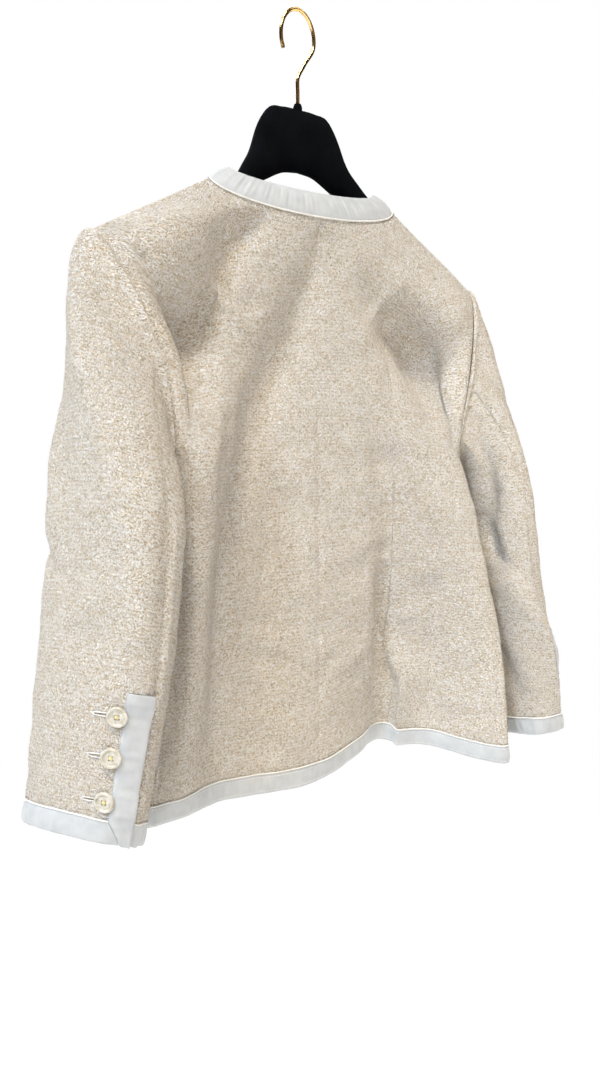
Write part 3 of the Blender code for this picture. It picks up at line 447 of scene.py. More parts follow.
# Walls of cloth
def clothGrid(base, side, shares, downs):
    # points and outward directions on a grid, creases included
    isBody, nudge, shares = base is bodyBase, 0.0015, np.broadcast_to(shares, downs.shape)
    lift, facing = (bodyLift, sideSign[side]) if isBody else (sleeveLift, -sideSign[side])
    before, after, lowDown, highDown = shares - nudge, shares + nudge, 0.0, 2.0
    if isBody:
        # each side of the armhole and the shoulder keeps its own direction
        isUp = downs < 1
        after = np.minimum(after, np.where(isUp & (shares <= backNotch), backNotch, 1.0))
        before = np.maximum(before, np.where(isUp & (shares >= frontNotch), frontNotch, 0.0))
        lowDown, highDown = np.where(isUp, 0.0, 1.0), np.where(isUp, 1.0, 2.0)

    def outwardOf(point):
        fall = point(shares, np.minimum(downs + nudge, highDown))
        fall = fall - point(shares, np.maximum(downs - nudge, lowDown))
        outward = np.cross(point(after, downs) - point(before, downs), fall) * facing
        if isBody:
            outward[..., 0] *= ease(shares * halfGirth / 0.004)      # square across the middle
        return unit(outward)

    def raised(share, down):
        return base(side, share, down) + plain * lift(side, share, down)[..., None]

    plain = outwardOf(lambda share, down: base(side, share, down))
    return raised(shares, downs), outwardOf(raised)


def evenDowns(base, side, shares, first, last, count):
    # rows at equal steps down each column, between two values of down
    first, last = np.broadcast_to(first, shares.shape), np.broadcast_to(last, shares.shape)
    downs = mix(first, last, (np.linspace(0, 1, 260) ** 1.5)[:, None])
    run = runOf(base(side, np.broadcast_to(shares, downs.shape), downs))
    at = np.linspace(0, 1, count + 1)
    return np.stack([np.interp(at * run[-1, j], run[:, j], downs[:, j]) for j in range(len(shares))], 1)


def seamColumns(first, last, girth):
    # columns of a piece: close together beside its seams, then evenly, in a multiple of three
    gap, close, clear = halfGap / girth, np.array(cloth["beside"]) / girth, cloth["clear"] / girth
    count = int(round((last - first) * girth / cloth["grid"] / 3)) * 3 - 4
    middle = np.linspace(first + gap + clear, last - gap - clear, count - 1)
    return np.concatenate([first + gap + close, middle, last - gap - close[::-1]])


def nubs(rows, columns, seed):
    # heights of the yarn's loops: over and under by turns, and uneven
    yarn = np.random.default_rng(seed)
    i, j = np.meshgrid(np.arange(rows), np.arange(columns), indexing="ij")
    weave = np.where((i + j) % 2 == 0, 1.0, -1.0) * yarn.uniform(-0.4, 1.0, (rows, columns))
    slub = yarn.normal(0, 0.55, (rows, columns))
    slub[:, 1:] = 0.6 * slub[:, 1:] + 0.5 * slub[:, :-1]
    return cloth["nub"] * (0.45 * weave + 0.85 * slub)


def seamDepth(points, edges, besideArmhole):
    # how far the cloth is drawn in beside the seams on the named edges of a grid, from 0 to 1
    depth = np.zeros(points.shape[:2])
    for edge in edges:
        line = {"first": points[:, :1], "last": points[:, -1:], "top": points[:1], "low": points[-1:]}[edge]
        if edge == besideArmhole:      # the armhole's part of the edge isn't drawn in
            line = line.copy()
            line[:bodyRows["upper"]] = 9.0
        depth = np.maximum(depth, np.exp(-(np.linalg.norm(points - line, axis=2) / cloth["seamReach"]) ** 2))
    return depth


def buildMesh(name, parts, surfaces, sharp=50):
    # parts are (vertices, faces, weave, surface number); vertices that no face uses are left out
    starts = np.cumsum([0] + [len(part[0]) for part in parts])
    faces = [[corner + start for corner in face] for part, start in zip(parts, starts) for face in part[1]]
    used = np.unique([corner for face in faces for corner in face])
    renumber = np.zeros(starts[-1], int)
    renumber[used] = np.arange(len(used))
    renumber = renumber.tolist()
    weave = np.concatenate([part[2] for part in parts])[used]
    data = bpy.data.meshes.new(name)
    data.from_pydata(np.concatenate([part[0] for part in parts])[used].tolist(), [],
                     [[renumber[corner] for corner in face] for face in faces])
    data.update()
    layer = data.uv_layers.new(name="weave")
    corners = np.zeros(len(data.loops), int)
    data.loops.foreach_get("vertex_index", corners)
    layer.data.foreach_set("uv", weave[corners].astype(np.float32).ravel())
    numbers = np.repeat([part[3] for part in parts], [len(part[1]) for part in parts])
    data.polygons.foreach_set("material_index", numbers)
    return finishObject(name, data, surfaces, sharp)


def addObject(name, data):
    made = bpy.data.objects.new(name, data)
    bpy.context.scene.collection.objects.link(made)
    return made


def finishObject(name, data, surfaces, sharp):
    for surface in surfaces:
        data.materials.append(surface)
    data.shade_smooth()
    data.set_sharp_from_angle(angle=math.radians(sharp))
    return addObject(name, data)


def clothWall(points, outward, height, thickness, weave, shown=None):
    # outer face on every row and column, inner face on every third one, joined round the edges
    rows, columns = points.shape[:2]
    coarse = cloth["inner"]
    outer = points + outward * height[..., None]
    inner = (points - outward * thickness)[::coarse, ::coarse]
    if shown is None:
        shown = np.ones((rows - 1, columns - 1), bool)
    label = np.arange(rows * columns).reshape(rows, columns)
    under = rows * columns + np.arange(inner.shape[0] * inner.shape[1]).reshape(inner.shape[:2])
    quads = np.stack([label[:-1, :-1], label[1:, :-1], label[1:, 1:], label[:-1, 1:]], -1)[shown].tolist()
    block = shown[::coarse, ::coarse]
    quads += np.stack([under[:-1, :-1], under[:-1, 1:], under[1:, 1:], under[1:, :-1]], -1)[block].tolist()
    filled, span = np.pad(block, 1), np.arange(coarse + 1)
    for i, j in np.argwhere(block):
        r, c = i * coarse, j * coarse
        for beside, edge, ends in (
                (filled[i, j + 1], label[r, c + span], under[i, [j + 1, j]]),
                (filled[i + 2, j + 1], label[r + coarse, c + coarse - span], under[i + 1, [j, j + 1]]),
                (filled[i + 1, j], label[r + coarse - span, c], under[[i, i + 1], j]),
                (filled[i + 1, j + 2], label[r + span, c + coarse], under[[i + 1, i], j + 1])):
            if not beside:
                quads.append(edge.tolist() + ends.tolist())
    i, j = rows // 2, columns // 3
    if np.cross(points[i + 1, j] - points[i, j], points[i, j + 1] - points[i, j]) @ outward[i, j] < 0:
        quads = [quad[::-1] for quad in quads]
    weave = np.concatenate([weave.reshape(-1, 2), weave[::coarse, ::coarse].reshape(-1, 2)])
    return np.concatenate([outer.reshape(-1, 3), inner.reshape(-1, 3)]), quads, weave, 0


def settle(piece, node):
    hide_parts(node)
    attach(piece, "root")


def declareCloth(piece):
    # the solid's piece of the same name is hidden, and the cloth hangs from the root
    settle(piece, piece.name.replace("Panel", "").replace("Band", "_band"))


# Materials
def hexColour(code):
    channels = [int(code[k:k + 2], 16) / 255 for k in (1, 3, 5)]
    return tuple(c / 12.92 if c <= 0.04045 else ((c + 0.055) / 1.055) ** 2.4 for c in channels) + (1.0,)


def setInputs(node, inputs):
    # a node or a socket is linked, any other value is set
    for key, value in inputs.items():
        if isinstance(value, bpy.types.Node):
            value = value.outputs[0]
        if isinstance(value, bpy.types.NodeSocket):
            node.id_data.links.new(value, node.inputs[key])
        else:
            node.inputs[key].default_value = value


def addNode(tree, kind, inputs=None, stops=(), **settings):
    # stops are the places and colours of a colour ramp
    node = tree.nodes.new(kind if "Node" in kind else "ShaderNode" + kind)
    for key, value in settings.items():
        setattr(node, key, value)
    for k, (place, code) in enumerate(stops):
        element = node.color_ramp.elements[k] if k < 2 else node.color_ramp.elements.new(place)
        element.position, element.color = place, hexColour(code)
    setInputs(node, inputs or {})
    return node


def startMaterial(name):
    made = bpy.data.materials.new(name)
    made.use_nodes = True
    return made, made.node_tree, made.node_tree.nodes["Principled BSDF"]


tweedLook = {    # metres, and shares
    "rowPitch": 0.0033, "rowGap": 2.0, "threadPitch": 0.0023, "lean": 1.25, "wander": 0.0038, "fibre": 0.0011,
    "curl": 0.0022, "curlTurns": 3.8, "bump": 0.0019,
    # colour by the yarn's height: the dark low stops are painted shade in the gaps, the white top stop painted
    # highlight
    "tones": [(0.16, "#b3a590"), (0.38, "#ddcfb8"), (0.52, "#f8eedc"), (0.68, "#ffffff")],
    "dyes": [(0.15, "#ebe9e4"), (0.45, "#ffffff"), (0.70, "#ffffff"), (0.95, "#f8e4bd")],
}


def makeTweed():
    # Boucle tweed, woven of looped wool and cotton: matt and nubby, rows of short slanting threads,
    # most leaning one way, ivory yarn over warm gaps; the gaps are painted darker as shade and the
    # loops' tops painted white as highlight. Its rows are about 3.3 mm, drawn at their own size;
    # its fibres are 0.05 mm and are drawn at 1 mm, so that they show.
    look = tweedLook
    made, tree, shader = startMaterial("boucleTweed")
    part = {}

    def reckon(steps):
        # sums on the parts named so far
        for name, operation, *given in steps:
            inputs = {k: part[value] if isinstance(value, str) else value for k, value in enumerate(given)}
            part[name] = addNode(tree, "Math", inputs, operation=operation)

    weave = addNode(tree, "UVMap", uv_map="weave").outputs["UV"]
    wander = addNode(tree, "TexNoise", {"Vector": weave, "Scale": 330.0, "Detail": 2.0}, noise_dimensions="2D")
    strength = (look["wander"] * 1.6, look["wander"], 0.0)
    shifted = addNode(tree, "VectorMath", {0: wander.outputs["Color"], 1: strength, 2: weave}, operation="MULTIPLY_ADD")
    part["x"], part["y"] = addNode(tree, "SeparateXYZ", {0: shifted}).outputs[:2]
    # rows, each with its own lean and its own start
    reckon([("rowPlace", "DIVIDE", "y", look["rowPitch"]), ("row", "FLOOR", "rowPlace"),
            ("rowPart", "FRACT", "rowPlace"), ("inRow", "SUBTRACT", "rowPart", 0.5)])
    part["start"] = addNode(tree, "TexWhiteNoise", {"W": part["row"]}, noise_dimensions="1D").outputs["Value"]
    reckon([("leansLeft", "GREATER_THAN", "start", 0.35), ("turn", "MULTIPLY_ADD", "leansLeft", 2.0, -1.0),
            ("slant", "MULTIPLY", "turn", "inRow"), ("slid", "MULTIPLY_ADD", "slant", look["lean"], "start"),
            ("column", "DIVIDE", "x", look["threadPitch"]), ("along", "ADD", "slid", "column"),
            ("onward", "ADD", "along", 0.5), ("across", "PINGPONG", "onward", 0.5),      # 0.5 in a thread's middle
            ("thread", "FLOOR", "onward")])
    which = addNode(tree, "CombineXYZ", {0: part["thread"], 1: part["row"]})
    own = addNode(tree, "TexWhiteNoise", {"Vector": which}, noise_dimensions="2D")
    part["own"] = own.outputs["Value"]
    # height: rounded threads of uneven fullness, with fibres on them, and the loops of the boucle yarn
    for name, inputs in (("fibre", {"Scale": 1 / look["fibre"], "Detail": 2.0, "Roughness": 0.7}),
                         ("field", {"Scale": 1 / look["curl"], "Detail": 1.0, "Distortion": 0.5})):
        part[name] = addNode(tree, "TexNoise", {"Vector": weave, **inputs}, noise_dimensions="2D")
    reckon([("wide", "MULTIPLY", "across", 2.0), ("roundAcross", "SQRT", "wide"),
            ("square", "MULTIPLY", "inRow", "inRow"), ("roundAlong", "MULTIPLY_ADD", "square", -look["rowGap"], 1.0),
            ("rounded", "MULTIPLY", "roundAcross", "roundAlong"),
            ("fullness", "MULTIPLY_ADD", "own", 0.55, 0.60), ("full", "MULTIPLY", "rounded", "fullness"),
            ("napped", "MULTIPLY_ADD", "fibre", 0.5, "full"), ("turns", "MULTIPLY", "field", look["curlTurns"]),
            ("curls", "PINGPONG", "turns", 0.5), ("loops", "MULTIPLY_ADD", "curls", 2.0, -0.5),
            ("height", "ADD", "napped", "loops"), ("level", "MULTIPLY", "height", 0.72)])
    # the yarn's height picks its colour: painted shade low in the gaps, painted highlight on the loops' tops, ivory
    # between
    tone = addNode(tree, "ValToRGB", {"Fac": part["level"]}, look["tones"])
    dyed = addNode(tree, "ValToRGB", {"Fac": own.outputs["Color"]}, look["dyes"])
    mixed = addNode(tree, "Mix", {0: 0.30, 6: tone, 7: dyed}, data_type="RGBA", blend_type="MULTIPLY")
    bump = addNode(tree, "Bump", {"Height": part["height"], "Strength": 0.8, "Distance": look["bump"]})
    setInputs(shader, {"Base Color": mixed.outputs[2], "Normal": bump, "Roughness": 0.95, "Specular IOR Level": 0.2,
                       "Sheen Weight": 0.2, "Sheen Roughness": 0.5, "Sheen Tint": hexColour("#fff6e6")})
    return made


def makeTape():
    # Ivory-white grosgrain tape, woven of fine ribs across its length: smooth, cool, a soft sheen.
    # The ribs are 0.5 mm on such tape and are drawn at 0.9 mm, so that they show.
    rib = 0.0009
    made, tree, shader = startMaterial("grosgrainTape")
    weave = addNode(tree, "UVMap", uv_map="weave").outputs["UV"]
    ribs = addNode(tree, "TexWave", {"Vector": weave, "Scale": 1 / rib / 3.2, "Distortion": 0.6, "Detail": 1.0,
                                     "Detail Scale": 2.0}).outputs["Fac"]
    cloud = addNode(tree, "TexNoise", {"Vector": weave, "Scale": 90.0, "Detail": 3.0}, noise_dimensions="2D")
    mixed = addNode(tree, "Math", {0: ribs, 1: 0.25, 2: cloud}, operation="MULTIPLY_ADD")
    tone = addNode(tree, "ValToRGB", {"Fac": mixed}, [(0.30, "#b3b8bc"), (0.80, "#c1c5c8")])
    bump = addNode(tree, "Bump", {"Height": ribs, "Strength": 0.6, "Distance": 0.00012})
    setInputs(shader, {"Base Color": tone, "Normal": bump, "Roughness": 0.62, "Specular IOR Level": 0.35,
                       "Sheen Weight": 0.12, "Sheen Roughness": 0.4})
    return made


def makeCordEdge():
    # Cotton piping cord, twisted: brighter than the tape, with slanting plies.
    made, tree, shader = startMaterial("pipingCord")
    weave = addNode(tree, "UVMap", uv_map="weave").outputs["UV"]
    ply = addNode(tree, "Mapping", {"Vector": weave, "Rotation": (0, 0, 0.8)})
    twist = addNode(tree, "TexWave", {"Vector": ply, "Scale": 260.0, "Distortion": 0.4}).outputs["Fac"]
    tone = addNode(tree, "ValToRGB", {"Fac": twist}, [(0.0, "#cfd0ce"), (0.6, "#f3f3f0")])
    bump = addNode(tree, "Bump", {"Height": twist, "Strength": 0.5, "Distance": 0.0002})
    setInputs(shader, {"Base Color": tone, "Normal": bump, "Roughness": 0.7, "Specular IOR Level": 0.3,
                       "Sheen Weight": 0.1})
    return made


def makeThread(name, low, light):
    # Spun cotton sewing thread: matt, with a faint unevenness along it.
    made, tree, shader = startMaterial(name)
    place = addNode(tree, "TexCoord").outputs["Object"]
    spun = addNode(tree, "TexNoise", {"Vector": place, "Scale": 900.0, "Detail": 2.0})
    tone = addNode(tree, "ValToRGB", {"Fac": spun}, [(0.35, low), (0.65, light)])
    setInputs(shader, {"Base Color": tone, "Roughness": 0.75, "Specular IOR Level": 0.3, "Sheen Weight": 0.1})
    return made


def makeResin():
    # Cast polyester button, cream and slightly clear: smooth turned faces with a soft gloss and
    # faint clouding inside.
    made, tree, shader = startMaterial("castResin")
    place = addNode(tree, "TexCoord").outputs["Object"]
    cloud = addNode(tree, "TexNoise", {"Vector": place, "Scale": 160.0, "Detail": 3.0, "Distortion": 0.8})
    tone = addNode(tree, "ValToRGB", {"Fac": cloud}, [(0.30, "#aba593"), (0.55, "#c7c4ba"), (0.75, "#d6d4ce")])
    setInputs(shader, {"Base Color": tone, "Roughness": 0.22, "IOR": 1.54, "Subsurface Weight": 0.25,
                       "Subsurface Scale": 0.002, "Subsurface Radius": (1.0, 0.8, 0.5), "Coat Weight": 0.25,
                       "Coat Roughness": 0.12})
    return made


def makeFlock():
    # Nylon flock glued on moulded plastic: black, no gloss, a dim edge sheen and a fine nap.
    made, tree, shader = startMaterial("blackFlock")
    place = addNode(tree, "TexCoord").outputs["Object"]
    nap, patch = (addNode(tree, "TexNoise", {"Vector": place, "Scale": scale, "Detail": 2.0})
                  for scale in (1400.0, 45.0))
    both = addNode(tree, "Math", {0: nap, 1: 0.5, 2: patch}, operation="MULTIPLY_ADD")
    tone = addNode(tree, "ValToRGB", {"Fac": both}, [(0.45, "#020304"), (1.0, "#0a0c11")])
    bump = addNode(tree, "Bump", {"Height": nap, "Strength": 0.5, "Distance": 0.0003})
    setInputs(shader, {"Base Color": tone, "Normal": bump, "Roughness": 0.95, "Specular IOR Level": 0.06,
                       "Sheen Weight": 0.06, "Sheen Roughness": 0.35, "Sheen Tint": hexColour("#414a5e")})
    return made


def makeBrass():
    # Brass-plated steel wire, drawn and polished: bright warm metal with faint lines along it.
    made, tree, shader = startMaterial("platedWire")
    place = addNode(tree, "TexCoord").outputs["Object"]
    wear = addNode(tree, "TexNoise", {"Vector": place, "Scale": 60.0, "Detail": 2.0})
    tone = addNode(tree, "ValToRGB", {"Fac": wear}, [(0.3, "#d9b56a"), (0.7, "#ecd196")])
    rough = addNode(tree, "MapRange", {
        "Value": wear, "From Min": 0.3, "From Max": 0.7, "To Min": 0.14, "To Max": 0.22})
    setInputs(shader, {"Base Color": tone, "Roughness": rough, "Metallic": 1.0})
    return made


boucleTweed, grosgrainTape, pipingCord = makeTweed(), makeTape(), makeCordEdge()
whiteThread = makeThread("whiteThread", "#dfe1e2", "#fafafa")
goldThread = makeThread("goldThread", "#cdbd76", "#efe6ae")
paintedShadeThread = makeThread("paintedShadeThread", "#8f806b", "#b3a48c")      # a dark thread line of painted shade, deep in a buttonhole's slit
castResin, blackFlock, platedWire = makeResin(), makeFlock(), makeBrass()
print("materials made")


# Tweed panels
def tweedPiece(name, base, side, shares, downs, seed, edges, besideArmhole=None, shown=None):
    points, outward = clothGrid(base, side, shares, downs)
    depth = seamDepth(points, edges, besideArmhole)
    height = nubs(*downs.shape, seed) * (1 - depth * 0.7) - cloth["seamSink"] * depth
    # the cloth's own place in metres: round from the middle, and up from the hem
    fallen = runOf(points)
    girth = halfGirth if base is bodyBase else sleeveGirth
    around = np.broadcast_to(sideSign[side] * shares * girth + 0.013 * seed, downs.shape)
    wall = clothWall(points, outward, height, cloth["wall"], np.stack([around, fallen[-1] - fallen], -1), shown)
    declareCloth(buildMesh(name, [wall], [boucleTweed]))


bodyRows = {"upper": 114, "lower": 183, "bandUpper": 81, "bandLower": 186}
panels = {    # shares where it starts and ends, and its edge along the armhole
    "back_centre": (0.0, bodyCut["princess"], None), "back_side": (bodyCut["princess"], backNotch, "last"),
    "underarm": (backNotch, frontNotch, None), "front": (frontNotch, bodyCut["frontBand"], "first"),
}


def hemBandDown(side, share):
    return 2 - bandWidth / (chestZ(share) - hemZ(side, share))


def makePanel(side, panel, seed):
    first, last, besideArmhole = panels[panel]
    shares = seamColumns(first, last, halfGirth)
    ends = hemBandDown(side, shares) - halfGap / cloth["lower"]
    downs = evenDowns(bodyBase, side, shares, 1.0, ends, bodyRows["lower"])
    edges, restsOn = ["first", "last", "low"], []
    if panel != "underarm":
        downs = np.concatenate([evenDowns(bodyBase, side, shares, 0.0, 1.0, bodyRows["upper"])[:-1], downs])
        edges, restsOn = edges + ["top"], ["hanger_body"]
    tweedPiece(f"{panel}Panel_{side}", bodyBase, side, shares, downs, seed, edges, besideArmhole)


for number, side in enumerate(sideSign):
    for seed, panel in enumerate(panels):
        makePanel(side, panel, 100 * number + seed)
print("body panels made")

sleeveRows = {"head": 126, "plain": 72, "vent": 60}
ventEdge = hind - sleeveCut["ventWidth"] / sleeveGirth


def makeSleeve(side, part, seed):
    if part == "top":
        body = seamColumns(fore - 1, ventEdge, sleeveGirth)
        strip = seamColumns(ventEdge, hind, sleeveGirth)
        # the strip above the vent carries on from the main part without a seam
        body[-3:] = ventEdge - np.array(sleeveCut["beforeVent"]) / sleeveGirth
        begin, end = np.array(sleeveCut["stripEnds"]) / sleeveGirth
        start = np.linspace(ventEdge + begin, strip[-3] - end, 10)
        shares = np.concatenate([body, start, strip[-2:]])
    else:
        shares = seamColumns(hind, fore, sleeveGirth)
    ventTop, cuffTop = (cuffDown(side, shares, height + halfGap) for height in (sleeveCut["ventLength"], bandWidth))
    head, plain, vent = (evenDowns(sleeveBase, side, shares, first, last, sleeveRows[rows]) for first, last, rows
                         in ((0.0, 1.0, "head"), (1.0, ventTop, "plain"), (ventTop, cuffTop, "vent")))
    downs = np.concatenate([head[:-1], plain[:-1], vent])
    shown = np.ones((downs.shape[0] - 1, downs.shape[1] - 1), bool)
    if part == "top":
        shown[-sleeveRows["vent"]:, len(body) - 1:] = False
    tweedPiece(f"sleeve_{part}Panel_{side}", sleeveBase, side, shares, downs, seed, ["first", "last", "low"],
               shown=shown)


for number, side in enumerate(sideSign):
    makeSleeve(side, "top", 20 + number)
    makeSleeve(side, "under", 30 + number)
print("sleeves made")


# Bands of tape
bandLook = {
    "crown": 0.0009, "roll": 0.0006, "pucker": 0.00042, "step": 0.0017, "cordRadius": 0.00075, "cordLift": 0.0004,
    "neckCurve": 0.0008,      # how far the neck's tape is rounded across
    # places of strong puckers on the hem band: signed distance from the middle of the back, reach, height
    "hemPuckers": [(0.13, 0.018, 0.0009), (-0.08, 0.017, 0.0010), (0.30, 0.015, 0.0004), (-0.33, 0.015, 0.0004)],
    # the vents' tape: rows above its corner; on the left its top fold and the crease below (height,
    # place, half width), and how far it stands off over all and at its free edge
    "ventRows": 61, "ventFold": (0.0014, 0.006, 0.007), "ventCrease": (-0.0010, 0.019, 0.0030),
    "ventStand": (0.0006, 0.0026),
    "seeds": {"hem": 51, "neck": 52, "front": {"left": 53, "right": 54}, "vent": {"left": 57, "right": 58}},
}
across = np.array((0.0, 0.03, 0.08, 0.16, 0.27, 0.39, 0.51, 0.63, 0.75, 0.86, 0.93, 0.975, 1.0))
acrossDown = across[:, None]      # the rows of a band


def bandHeights(run, seed, puckers=()):
    # crowned across, rolled at both edges, with small upright puckers along it
    crown = bandLook["crown"] * (1 - (2 * acrossDown - 1) ** 2)
    roll = -bandLook["roll"] * np.exp(-(np.minimum(acrossDown, 1 - acrossDown) * bandWidth / 0.0007) ** 2)
    waves = np.random.default_rng(seed)
    ripple = np.zeros(run.shape)
    for _ in range(9):
        ripple += np.sin(run * 2 * np.pi / waves.uniform(0.0045, 0.016) + waves.uniform(0, 6.3)
                         + acrossDown * waves.uniform(-1, 1))
    tall = bandLook["pucker"] * np.ones(run.shape)
    for place, reach, height in puckers:
        tall += height * np.exp(-((run - place) / reach) ** 2)
    return crown + roll + ripple / 4.2 * tall * np.sin(np.pi * np.clip(acrossDown, 0.05, 0.95)) ** 0.5


def cordAlong(line, outward, radius, lift=0.0, sides=6, number=1):
    # a closed round cord through the points of a line
    way = unit(np.gradient(line, axis=0))
    out = unit(outward - way * (outward * way).sum(-1, keepdims=True))
    beside = np.cross(way, out)
    angles, count = np.arange(sides) * 2 * np.pi / sides, len(line)
    rings = (line + out * lift)[:, None] + radius * (
        out[:, None] * np.cos(angles)[:, None] + beside[:, None] * np.sin(angles)[:, None])
    label = np.arange(count * sides).reshape(count, sides)
    turned = np.roll(label, -1, axis=1)
    faces = np.stack([label[:-1], turned[:-1], turned[1:], label[1:]], -1).reshape(-1, 4).tolist()
    faces += [label[0, ::-1].tolist(), label[-1].tolist()]
    weave = np.stack(np.broadcast_arrays(runOf(line)[:, None], angles * radius), -1)
    return rings.reshape(-1, 3), faces, weave.reshape(-1, 2), number


def bandPiece(name, points, outward, height, run, cord=None):
    # cord names the edge that carries a piping cord
    parts = [clothWall(points, outward, height, cloth["bandWall"], np.stack([run, runOf(points)], -1))]
    if cord:
        row = {"top": 0, "low": -1}[cord]
        parts.append(cordAlong(points[row], outward[row], bandLook["cordRadius"], bandLook["cordLift"]))
    declareCloth(buildMesh(name, parts, [grosgrainTape, pipingCord]))
    return points, outward, height


def columnsFor(length):
    return max(int(round(length / bandLook["step"] / 3)), 1) * 3 + 1


def runAlong(points):
    return np.broadcast_to(runOf(points[len(points) // 2]), points.shape[:2])


def layBand(name, base, side, shares, downs, seed, upright=False, cord="top", standOff=None):
    # an upright band runs down the piece, the others round it
    points, outward = clothGrid(base, side, shares, downs)
    if upright:
        points, outward = points.transpose(1, 0, 2), outward.transpose(1, 0, 2)
    run = runAlong(points) if upright else shares * sleeveGirth
    height = bandHeights(run, seed)
    if standOff:
        height = height + standOff(run)
    return bandPiece(name, points, outward, height, run, cord)


def makeHemBand():
    halves = []
    shares = np.linspace(0, bodyCut["frontEdge"], columnsFor(halfGirth))
    for side in sideSign:
        downs = mix(hemBandDown(side, shares) + halfGap / cloth["lower"], 2, acrossDown)
        run = np.broadcast_to(sideSign[side] * shares * halfGirth, downs.shape)
        halves.append((*clothGrid(bodyBase, side, shares, downs), run))
    points, outward, run = (np.concatenate([left[:, :0:-1], right], axis=1) for left, right in zip(*halves))
    height = bandHeights(run, bandLook["seeds"]["hem"], bandLook["hemPuckers"])
    return bandPiece("hemBand", points, outward, height, run, "top")


def neckPoint(curve, turn):
    # turn is 0 at centre back, 90 at the shoulder, 180 at centre front
    halfWidth, shoulderY, shoulderZ, backY, backZ, frontY, frontZ = bodyCut[curve]
    swing = np.cos(turn)
    endY, endZ = np.where(swing > 0, backY, frontY), np.where(swing > 0, backZ, frontZ)
    swing = np.abs(swing)
    return np.stack([halfWidth * np.sin(turn), mix(shoulderY, endY, swing), mix(shoulderZ, endZ, swing)], -1)


def makeNeckBand():
    turns = np.radians(np.linspace(-179.6, 179.6, 361))
    edge, seam = neckPoint("neckEdge", turns), neckPoint("neckSeam", turns)
    # the tape turns the shoulder in a soft bend
    kernel = np.hanning(17)[1:-1]
    soft = np.stack([np.convolve(values, kernel / kernel.sum(), "same") for values in edge.T], 1)
    edge = mix(edge, soft, ease(2 - np.abs(np.degrees(np.abs(turns)) - 90) / 12)[:, None])
    seam = seam - unit(seam - edge) * cloth["seamGap"]
    points = mix(edge, seam, acrossDown[..., None])
    outward = unit(np.cross(np.gradient(points, axis=0), np.gradient(points, axis=1)))
    if outward[6, 180] @ np.array([0, 1.0, 0.3]) < 0:
        outward = -outward
    points = points + outward * (bandLook["neckCurve"] * np.sin(np.pi * acrossDown))[..., None]
    run = runAlong(points)
    bandPiece("neckBand", points, outward, bandHeights(run, bandLook["seeds"]["neck"]), run, "low")


def makeFrontBand(side):
    shares = mix(bodyCut["frontBand"] + halfGap / halfGirth, bodyCut["frontEdge"], across)
    ends = hemBandDown(side, shares) - halfGap / cloth["lower"]
    downs = np.concatenate([evenDowns(bodyBase, side, shares, 0.0, 1.0, bodyRows["bandUpper"])[:-1],
                            evenDowns(bodyBase, side, shares, 1.0, ends, bodyRows["bandLower"])])
    layBand(f"frontBand_{side}", bodyBase, side, shares, downs, bandLook["seeds"]["front"][side], upright=True)


def makeCuffBand(side, part, starts, ends, seed):
    # each pair gives the share where the band starts or ends, at its top and at its low edge
    way = np.linspace(0, 1, columnsFor((ends[0] - starts[0]) * sleeveGirth))
    shares = mix(mix(*starts, acrossDown), mix(*ends, acrossDown), way)
    downs = cuffDown(side, shares, (bandWidth - halfGap) * (1 - acrossDown))
    layBand(f"cuffBand_{part}_{side}", sleeveBase, side, shares, downs, seed)


def makeVentBand(side, corner, mitre, edge):
    width, rise = bandWidth - halfGap, sleeveCut["ventLength"] - cloth["seamGap"]
    heights = np.concatenate([np.linspace(rise, width, bandLook["ventRows"]), np.linspace(width, 0, 13)[1:]])[:, None]
    shares = mix(mix(corner, mitre, np.clip(1 - heights / width, 0, 1)), edge, across)

    def standOff(run):
        # the left vent has been opened more and stands off; the tape's top end is turned under
        folds = sum(tall * np.exp(-((run - place) / halfWidth) ** 2)
                    for tall, place, halfWidth in (bandLook["ventFold"], bandLook["ventCrease"]))
        return folds + mix(0, bandLook["ventStand"][1], ease((acrossDown - 0.55) / 0.45)) + bandLook["ventStand"][0]

    return layBand(f"ventBand_{side}", sleeveBase, side, shares, cuffDown(side, shares, heights),
                   bandLook["seeds"]["vent"][side], True, None, standOff if side == "left" else None)


inset = halfGap / sleeveGirth
corner = ventEdge - inset
mitre = corner + (hind - ventEdge) * sleeveCut["mitre"]
ventBands = {}
for number, side in enumerate(sideSign):
    makeCuffBand(side, "top", (fore - 1 + inset,) * 2, (corner, mitre), 60 + number)
    makeCuffBand(side, "under", (hind + inset,) * 2, (fore - inset,) * 2, 62 + number)
    ventBands[side] = makeVentBand(side, corner + 0.8 * inset, mitre + 0.8 * inset, hind - inset)
    makeFrontBand(side)
hemBand = makeHemBand()
makeNeckBand()
print("bands made")


# Stitches, set along lines by Geometry Nodes
stitchLook = {    # spacing, length, width and seed
    "hem": (0.0031, 0.0025, 0.00055, 3), "vent": (0.0019, 0.0021, 0.0007, 5),
    "buttonhole": (0.00075, 0.0013, 0.0009, 9), "slit": (0.0010, 0.0016, 0.0006, 9),
}
stitchStand = {"hem": 0.00005, "vent": 0.0003, "buttonhole": 0.0007, "slit": 0.0005}      # off the cloth
stitchInputs = {"Spacing": "NodeSocketFloat", "Stitch Length": "NodeSocketFloat", "Stitch Width": "NodeSocketFloat",
                "Seed": "NodeSocketInt"}


